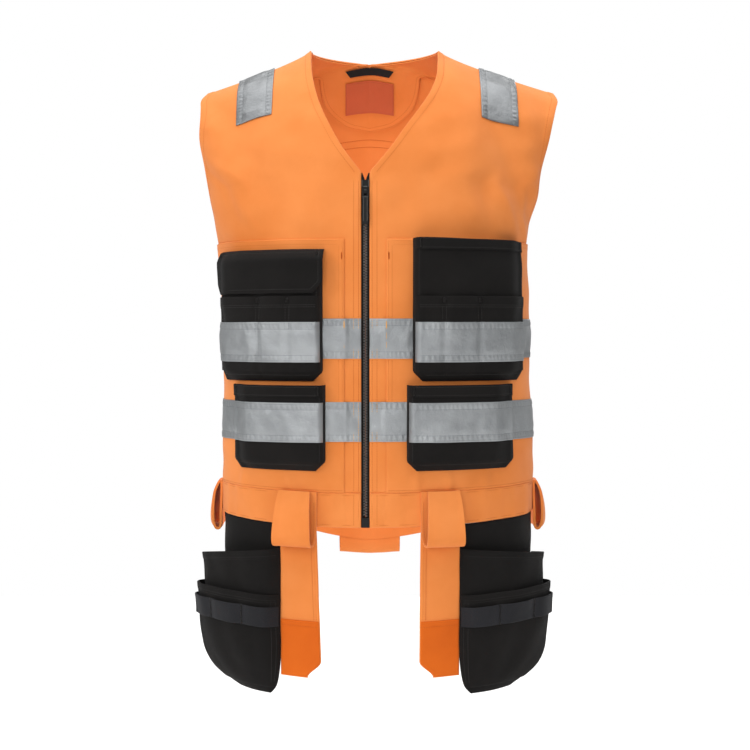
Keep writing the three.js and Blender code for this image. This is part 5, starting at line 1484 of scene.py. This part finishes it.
    def stitch_pouches(self):
        """Bartacks through the webbing, rows along both mouths, and rows down the inner edge."""
        for at in TACKS[1:-1]:
            for row in TACK_ROWS:
                s = float(self.across_at(at, self.strap + row))
                height = self.over(self.strap_in + OVERLAY + 0.4, self.lip)
                bartack("black", self.side, s, self.strap + row, height, **WEBBING_TACK)
        shares = np.linspace(0.02, 0.98, 60)
        for row, out in MOUTH_ROWS:
            rows = self.sloped(shares, np.full(60, self.mouth + row))
            stitch("black", "front", self.side, self.across_at(shares, rows), rows,
                   self.over(self.large_in + CLOTH + out))
        for row, out in SMALL_ROWS:
            rows = np.full(60, self.second + row)
            stitch("black", "front", self.side, self.across_at(shares, rows), rows,
                   self.over(self.small_in + CLOTH + out, self.lip))
        downs = np.linspace(self.second + 6, FRONT_LENGTH + 0.93 * TOOL_BOTTOM, 60)
        for share in TOOL_SIDE_SHARES:
            stitch("black", "front", self.side, self.across_at(share, downs), downs,
                   self.over(self.small_in + CLOTH + 0.15, self.lip))

    def build(self):
        """All the tool pocket's pieces and stitches."""
        self.build_panel()
        self.build_pouches()
        self.stitch_pouches()


# Materials

def new_group(name, place_name, value_name):
    """An empty shader node group: a place and a value go in, a height and a shade come out."""
    group = bpy.data.node_groups.new(name, "ShaderNodeTree")
    group.interface.new_socket(name=place_name, in_out="INPUT", socket_type="NodeSocketVector")
    group.interface.new_socket(name=value_name, in_out="INPUT", socket_type="NodeSocketFloat")
    for label in ("Height", "Shade"):
        group.interface.new_socket(name=label, in_out="OUTPUT", socket_type="NodeSocketFloat")
    return group, group.nodes.new("NodeGroupInput"), group.nodes.new("NodeGroupOutput")


def math_node(tree, operation, first, second=None):
    """A Math node on two values, each a socket or a number."""
    node = tree.nodes.new("ShaderNodeMath")
    node.operation = operation
    for socket, value in zip(node.inputs, (first, second)):
        if value is None:
            continue
        if isinstance(value, (int, float)):
            socket.default_value = value
        else:
            tree.links.new(value, socket)
    return node.outputs[0]


def weave_group():
    """Plain weave on the cloth's own map: threads along and down pass over each other by turns."""
    group, given, result = new_group("cloth_weave", "Map", "Threads")
    parts = group.nodes.new("ShaderNodeSeparateXYZ")
    group.links.new(given.outputs["Map"], parts.inputs[0])
    waves = []
    for axis in (0, 1):
        turns = math_node(group, "MULTIPLY", parts.outputs[axis], given.outputs["Threads"])
        waves.append(math_node(group, "SINE", math_node(group, "MULTIPLY", turns, 2 * math.pi)))
    crossing = math_node(group, "MULTIPLY", waves[0], waves[1])
    sizes = [math_node(group, "ABSOLUTE", wave) for wave in waves]
    threads = math_node(group, "ADD", *sizes)
    half = math_node(group, "MULTIPLY", crossing, 0.5)
    height = math_node(group, "ADD", half, math_node(group, "MULTIPLY", threads, -0.2))
    group.links.new(height, result.inputs["Height"])
    shade = math_node(group, "ADD", half, 0.5)
    group.links.new(shade, result.inputs["Shade"])
    return group


def rumple_group():
    """Slow shade and small rumples of handled cloth, from noise at three sizes."""
    group, given, result = new_group("cloth_rumple", "Place", "Size")
    noises = []
    for factor, detail in ((1.0, 3.0), (0.28, 2.0), (7.0, 2.0)):
        noise = group.nodes.new("ShaderNodeTexNoise")
        noise.inputs["Detail"].default_value = detail
        noise.inputs["Roughness"].default_value = 0.55
        group.links.new(given.outputs["Place"], noise.inputs["Vector"])
        group.links.new(math_node(group, "MULTIPLY", given.outputs["Size"], factor), noise.inputs["Scale"])
        noises.append(noise.outputs["Fac"])
    height = math_node(group, "ADD", noises[0], math_node(group, "MULTIPLY", noises[2], 0.12))
    group.links.new(height, result.inputs["Height"])
    broad = math_node(group, "MULTIPLY", noises[1], 0.65)
    shade = math_node(group, "ADD", broad, math_node(group, "MULTIPLY", noises[0], 0.35))
    group.links.new(shade, result.inputs["Shade"])
    return group


WEAVE = weave_group()
RUMPLE = rumple_group()


def shader_material(name, roughness, metallic=0.0):
    """A material with its node tree and its one shader."""
    material = bpy.data.materials.new(name)
    material.use_nodes = True
    tree = material.node_tree
    shader = tree.nodes["Principled BSDF"]
    shader.inputs["Roughness"].default_value = roughness
    shader.inputs["Metallic"].default_value = metallic
    return material, tree, shader


def grouped(tree, group, place, place_name, value_name, value):
    """A node group put into a material, with its place and its value."""
    node = tree.nodes.new("ShaderNodeGroup")
    node.node_tree = group
    node.inputs[value_name].default_value = value
    tree.links.new(place, node.inputs[place_name])
    return node


def colour_ramp(tree, shader, factor, low, high, start, end):
    """The shader's colour, from low to high as a factor goes from start to end."""
    ramp = tree.nodes.new("ShaderNodeValToRGB")
    for element, position, colour in zip(ramp.color_ramp.elements, (start, end), (low, high)):
        element.position = position
        element.color = (*colour, 1)
    tree.links.new(factor, ramp.inputs["Fac"])
    tree.links.new(ramp.outputs["Color"], shader.inputs["Base Color"])


def bump_node(tree, height, strength, distance, below=None):
    """A Bump node's normal, over another one's if that is given."""
    bump = tree.nodes.new("ShaderNodeBump")
    bump.inputs["Strength"].default_value = strength
    bump.inputs["Distance"].default_value = distance
    tree.links.new(height, bump.inputs["Height"])
    if below is not None:
        tree.links.new(below, bump.inputs["Normal"])
    return bump.outputs["Normal"]


def cloth_material(name, low, high, roughness, threads, weave, rumple, size=26.0, sheen=0.0, metallic=0.0):
    """Woven cloth: colour drifts from low to high, threads and rumples lift the surface."""
    material, tree, shader = shader_material(name, roughness, metallic)
    shader.inputs["Sheen Weight"].default_value = sheen
    shader.inputs["Sheen Roughness"].default_value = 0.5
    shader.inputs["Specular IOR Level"].default_value = 0.5 if metallic else 0.18
    places = tree.nodes.new("ShaderNodeTexCoord")
    woven = grouped(tree, WEAVE, places.outputs["UV"], "Map", "Threads", threads)
    rumpled = grouped(tree, RUMPLE, places.outputs["Object"], "Place", "Size", size)
    shade = math_node(tree, "ADD", math_node(tree, "MULTIPLY", rumpled.outputs["Shade"], 1.5), -0.25)
    shade = math_node(tree, "ADD", shade, math_node(tree, "MULTIPLY", woven.outputs["Shade"], 0.25))
    colour_ramp(tree, shader, shade, low, high, 0.25, 0.85)
    drift = math_node(tree, "MULTIPLY", rumpled.outputs["Shade"], ROUGH_DRIFT)
    tree.links.new(math_node(tree, "ADD", drift, roughness - ROUGH_DRIFT / 2), shader.inputs["Roughness"])
    fine = bump_node(tree, woven.outputs["Height"], weave, WEAVE_RELIEF)
    broad = bump_node(tree, rumpled.outputs["Height"], rumple, RUMPLE_RELIEF, fine)
    tree.links.new(broad, shader.inputs["Normal"])
    return material


def plastic_material(name, low, high, roughness, bump=0.1):
    """Moulded plastic or thread: a faint grain, and colour that drifts a little."""
    material, tree, shader = shader_material(name, roughness)
    shader.inputs["Specular IOR Level"].default_value = 0.25
    places = tree.nodes.new("ShaderNodeTexCoord")
    grain = tree.nodes.new("ShaderNodeTexNoise")
    grain.inputs["Scale"].default_value = 900.0
    grain.inputs["Detail"].default_value = 3.0
    tree.links.new(places.outputs["Object"], grain.inputs["Vector"])
    colour_ramp(tree, shader, grain.outputs["Fac"], low, high, 0.3, 0.7)
    tree.links.new(bump_node(tree, grain.outputs["Fac"], bump, GRAIN_RELIEF), shader.inputs["Normal"])
    return material


ROUGH_DRIFT = 0.12
WEAVE_RELIEF, RUMPLE_RELIEF, GRAIN_RELIEF = 0.0003, 0.004, 0.0002
CLOTHS = {
    "orange_cloth": dict(low=(0.73, 0.200, 0.036), high=(0.84, 0.270, 0.068), roughness=0.85, threads=1100,
                         weave=0.3, rumple=0.16, sheen=0.1),
    # A darker, more saturated copy of the orange cloth, put on the tool pockets' front patches: painted shade.
    "deep_orange_painted_shade": dict(low=(0.60, 0.100, 0.005), high=(0.70, 0.135, 0.009), roughness=0.85, threads=1100,
                        weave=0.3, rumple=0.16, sheen=0.05),
    "black_cloth": dict(low=(0.0040, 0.0035, 0.0032), high=(0.0095, 0.0082, 0.0076), roughness=0.88,
                        threads=700, weave=0.9, rumple=0.2, size=34, sheen=0.02),
    "reflective_tape": dict(low=(0.25, 0.262, 0.27), high=(0.38, 0.395, 0.405), roughness=0.38, threads=1600,
                            weave=0.2, rumple=0.35, size=60, metallic=0.55),
    # A darker copy of the reflective tape, put on the shoulder patches, which are the same tape: painted shade.
    "shoulder_tape_painted_shade": dict(low=(0.140, 0.147, 0.152), high=(0.215, 0.223, 0.229), roughness=0.38, threads=1600,
                          weave=0.2, rumple=0.35, size=60, metallic=0.55),
    "dark_webbing": dict(low=(0.009, 0.009, 0.0105), high=(0.018, 0.018, 0.021), roughness=0.8, threads=420,
                         weave=1.0, rumple=0.1, size=40, sheen=0.05),
    "zip_tape": dict(low=(0.006, 0.006, 0.006), high=(0.012, 0.011, 0.010), roughness=0.8, threads=900,
                     weave=0.6, rumple=0.05),
    "black_tape": dict(low=(0.008, 0.008, 0.008), high=(0.016, 0.015, 0.014), roughness=0.65, threads=1200,
                       weave=0.5, rumple=0.05),
    "label_tape": dict(low=(0.50, 0.095, 0.030), high=(0.60, 0.125, 0.045), roughness=0.55, threads=1500,
                       weave=0.3, rumple=0.08),
}
PLASTICS = {
    # The teeth's grey; on the puller's ribs and the slider's edges the same paler plastic is a painted
    # highlight.
    "zip_plastic": dict(low=(0.05, 0.048, 0.045), high=(0.12, 0.115, 0.108), roughness=0.3),
    "dark_plastic": dict(low=(0.004, 0.004, 0.004), high=(0.009, 0.0085, 0.008), roughness=0.42),
    "orange_thread": dict(low=(0.44, 0.075, 0.006), high=(0.56, 0.11, 0.012), roughness=0.8, bump=0.3),
    "yellow_thread": dict(low=(0.70, 0.33, 0.05), high=(0.82, 0.42, 0.09), roughness=0.7, bump=0.3),
    "black_thread": dict(low=(0.018, 0.017, 0.016), high=(0.045, 0.042, 0.04), roughness=0.5, bump=0.3),
    "grey_thread": dict(low=(0.13, 0.14, 0.145), high=(0.24, 0.25, 0.26), roughness=0.7, bump=0.3),
    "label_thread": dict(low=(0.36, 0.07, 0.03), high=(0.48, 0.10, 0.04), roughness=0.6, bump=0.3),
}
MATERIALS = {name: cloth_material(name, **look) for name, look in CLOTHS.items()}
MATERIALS.update({name: plastic_material(name, **look) for name, look in PLASTICS.items()})
OTHER_SHADES = {
    # Darker, more saturated orange on the tool pockets' patches: painted shade.
    "right_tool_pocket_front_patch_cloth": "deep_orange_painted_shade",
    "left_tool_pocket_front_patch_cloth": "deep_orange_painted_shade",
    # Darker tape on the shoulder patches: painted shade.
    "shoulder_patch_right_tape": "shoulder_tape_painted_shade",
    "shoulder_patch_left_tape": "shoulder_tape_painted_shade",
}
THREAD_SLOTS = {
    "orange": "orange_cloth",
    "yellow": "orange_cloth",
    "black": "black_cloth",
    "grey": "reflective_tape",
    "label": "label_tape",
}


# Stage, lights and camera, in metres and watts

FLOOR_HALF, FLOOR_HEIGHT, FLOOR_COLOUR = 1.8, -1.01, (0.95, 0.95, 0.95, 1)
CAMERA_PLACE, CAMERA_TILT, CAMERA_LENS, CAMERA_SENSOR = (-0.0016, -2.2, -0.375), -1.385, 79.4, 36.0
SKY_STRENGTH = 0.34
LIGHTS = {
    "key": dict(place=(-2.2, -1.7, 0.8), aim=(0, 0, -0.35), size=(1.3, 1.3), watts=23),
    "front": dict(place=(-0.5, -2.9, 0.12), aim=(0, 0, -0.3), size=(1.1, 0.8), watts=16.5),
    "fill": dict(place=(1.7, -2.3, 0.0), aim=(0, 0, -0.4), size=(1.4, 2.0), watts=2),
    "top": dict(place=(-0.2, -0.1, 1.5), aim=(0, 0.05, -0.2), size=(1.2, 0.9), watts=1),
    "behind": dict(place=(0.6, 2.6, 0.6), aim=(0, 0, -0.35), size=(1.6, 1.6), watts=26),
    "collar": dict(place=(-0.014, -0.015, -0.16), aim=(-0.014, 0.1, -0.12), size=(0.12, 0.08), watts=0.12),
    "hem": dict(place=(-0.014, -0.06, -0.60), aim=(-0.014, 0.12, -0.65), size=(0.24, 0.08), watts=0.25),
    "floor_light": dict(place=(0.0, 0.0, 2.9), aim=(0, 0.01, -1.0), size=(4.6, 4.6), watts=180),
}


def build_stage():
    """A plain pale floor below the vest."""
    corners = [(x * FLOOR_HALF, y * FLOOR_HALF, FLOOR_HEIGHT) for x, y in ((-1, -1), (1, -1), (1, 1), (-1, 1))]
    mesh = bpy.data.meshes.new("floor")
    mesh.from_pydata(corners, [], [(0, 1, 2, 3)])
    floor_piece = bpy.data.objects.new("floor", mesh)
    bpy.context.scene.collection.objects.link(floor_piece)
    material, tree, shader = shader_material("pale_floor", 0.9)
    shader.inputs["Base Color"].default_value = FLOOR_COLOUR
    mesh.materials.append(material)


def add_light(name, place, aim, size, watts):
    """A soft light from a rectangle that the camera doesn't see, its X side level."""
    data = bpy.data.lights.new(name, "AREA")
    data.shape = "RECTANGLE"
    data.size, data.size_y = size
    data.energy = watts
    light = bpy.data.objects.new(name, data)
    x, y, z = np.array(aim) - np.array(place)
    light.location = place
    light.rotation_euler = (math.acos(-z / math.hypot(x, y, z)), 0.0, math.atan2(-x, y))
    light.visible_camera = False
    bpy.context.scene.collection.objects.link(light)


def build_camera():
    """The photograph's view: level with the chest, 2.2 m away, tipped down a little."""
    data = bpy.data.cameras.new("camera")
    data.sensor_width = CAMERA_SENSOR
    data.lens = CAMERA_LENS
    camera = bpy.data.objects.new("camera", data)
    camera.location = CAMERA_PLACE
    camera.rotation_euler = (math.radians(90 + CAMERA_TILT), 0.0, 0.0)
    bpy.context.scene.collection.objects.link(camera)
    bpy.context.scene.camera = camera


def build_light():
    """Soft studio light, stronger from the photograph's left, before a white backdrop."""
    world = bpy.data.worlds.new("studio")
    world.use_nodes = True
    tree = world.node_tree
    backdrop = tree.nodes["Background"]
    backdrop.inputs["Color"].default_value = (1, 1, 1, 1)
    seen = tree.nodes.new("ShaderNodeLightPath").outputs["Is Camera Ray"]
    strength = math_node(tree, "ADD", math_node(tree, "MULTIPLY", seen, 1 - SKY_STRENGTH), SKY_STRENGTH)
    tree.links.new(strength, backdrop.inputs["Strength"])
    bpy.context.scene.world = world
    for name, settings in LIGHTS.items():
        add_light(name, **settings)


def finish_threads():
    """All stitches of one kind as one piece."""
    for kind, parts in THREADS.items():
        points, faces, first = [], [], 0
        for more, triangles in parts:
            points.append(more)
            faces.append(triangles + first)
            first += len(more)
        piece = add_piece(f"stitches_{kind}", np.concatenate(points), np.concatenate(faces), THREAD_SLOTS[kind],
                          sharp=80, welded=False)
        OTHER_SHADES[piece.name] = f"{kind}_thread"


def finish_pieces():
    """Each new piece and each node that still shows gets its material."""
    for slot, pieces in FINISHES.items():
        for piece in pieces:
            piece.data.materials.append(MATERIALS[OTHER_SHADES.get(piece.name, slot)])
    for name in ("zip_box", "zip_slider", "zip_puller"):
        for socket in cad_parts[name].material_slots:
            socket.material = MATERIALS["dark_plastic"]


bpy.context.scene.view_settings.view_transform = "Standard"
build_camera()
build_light()
build_stage()
build_fronts()
build_back()
build_seams()
build_waistband()
build_bands()
build_shoulder_patches()
build_inner_neck()
build_zip()
for pocket_name, settings in POCKETS.items():
    pocket = Pocket(pocket_name, **settings)
    pocket.build()
    if pocket.flapped:
        build_flap(pocket)
build_loops()
for pocket_name, settings in TOOL_POCKETS.items():
    ToolPocket(pocket_name, **settings).build()
finish_threads()
finish_pieces()
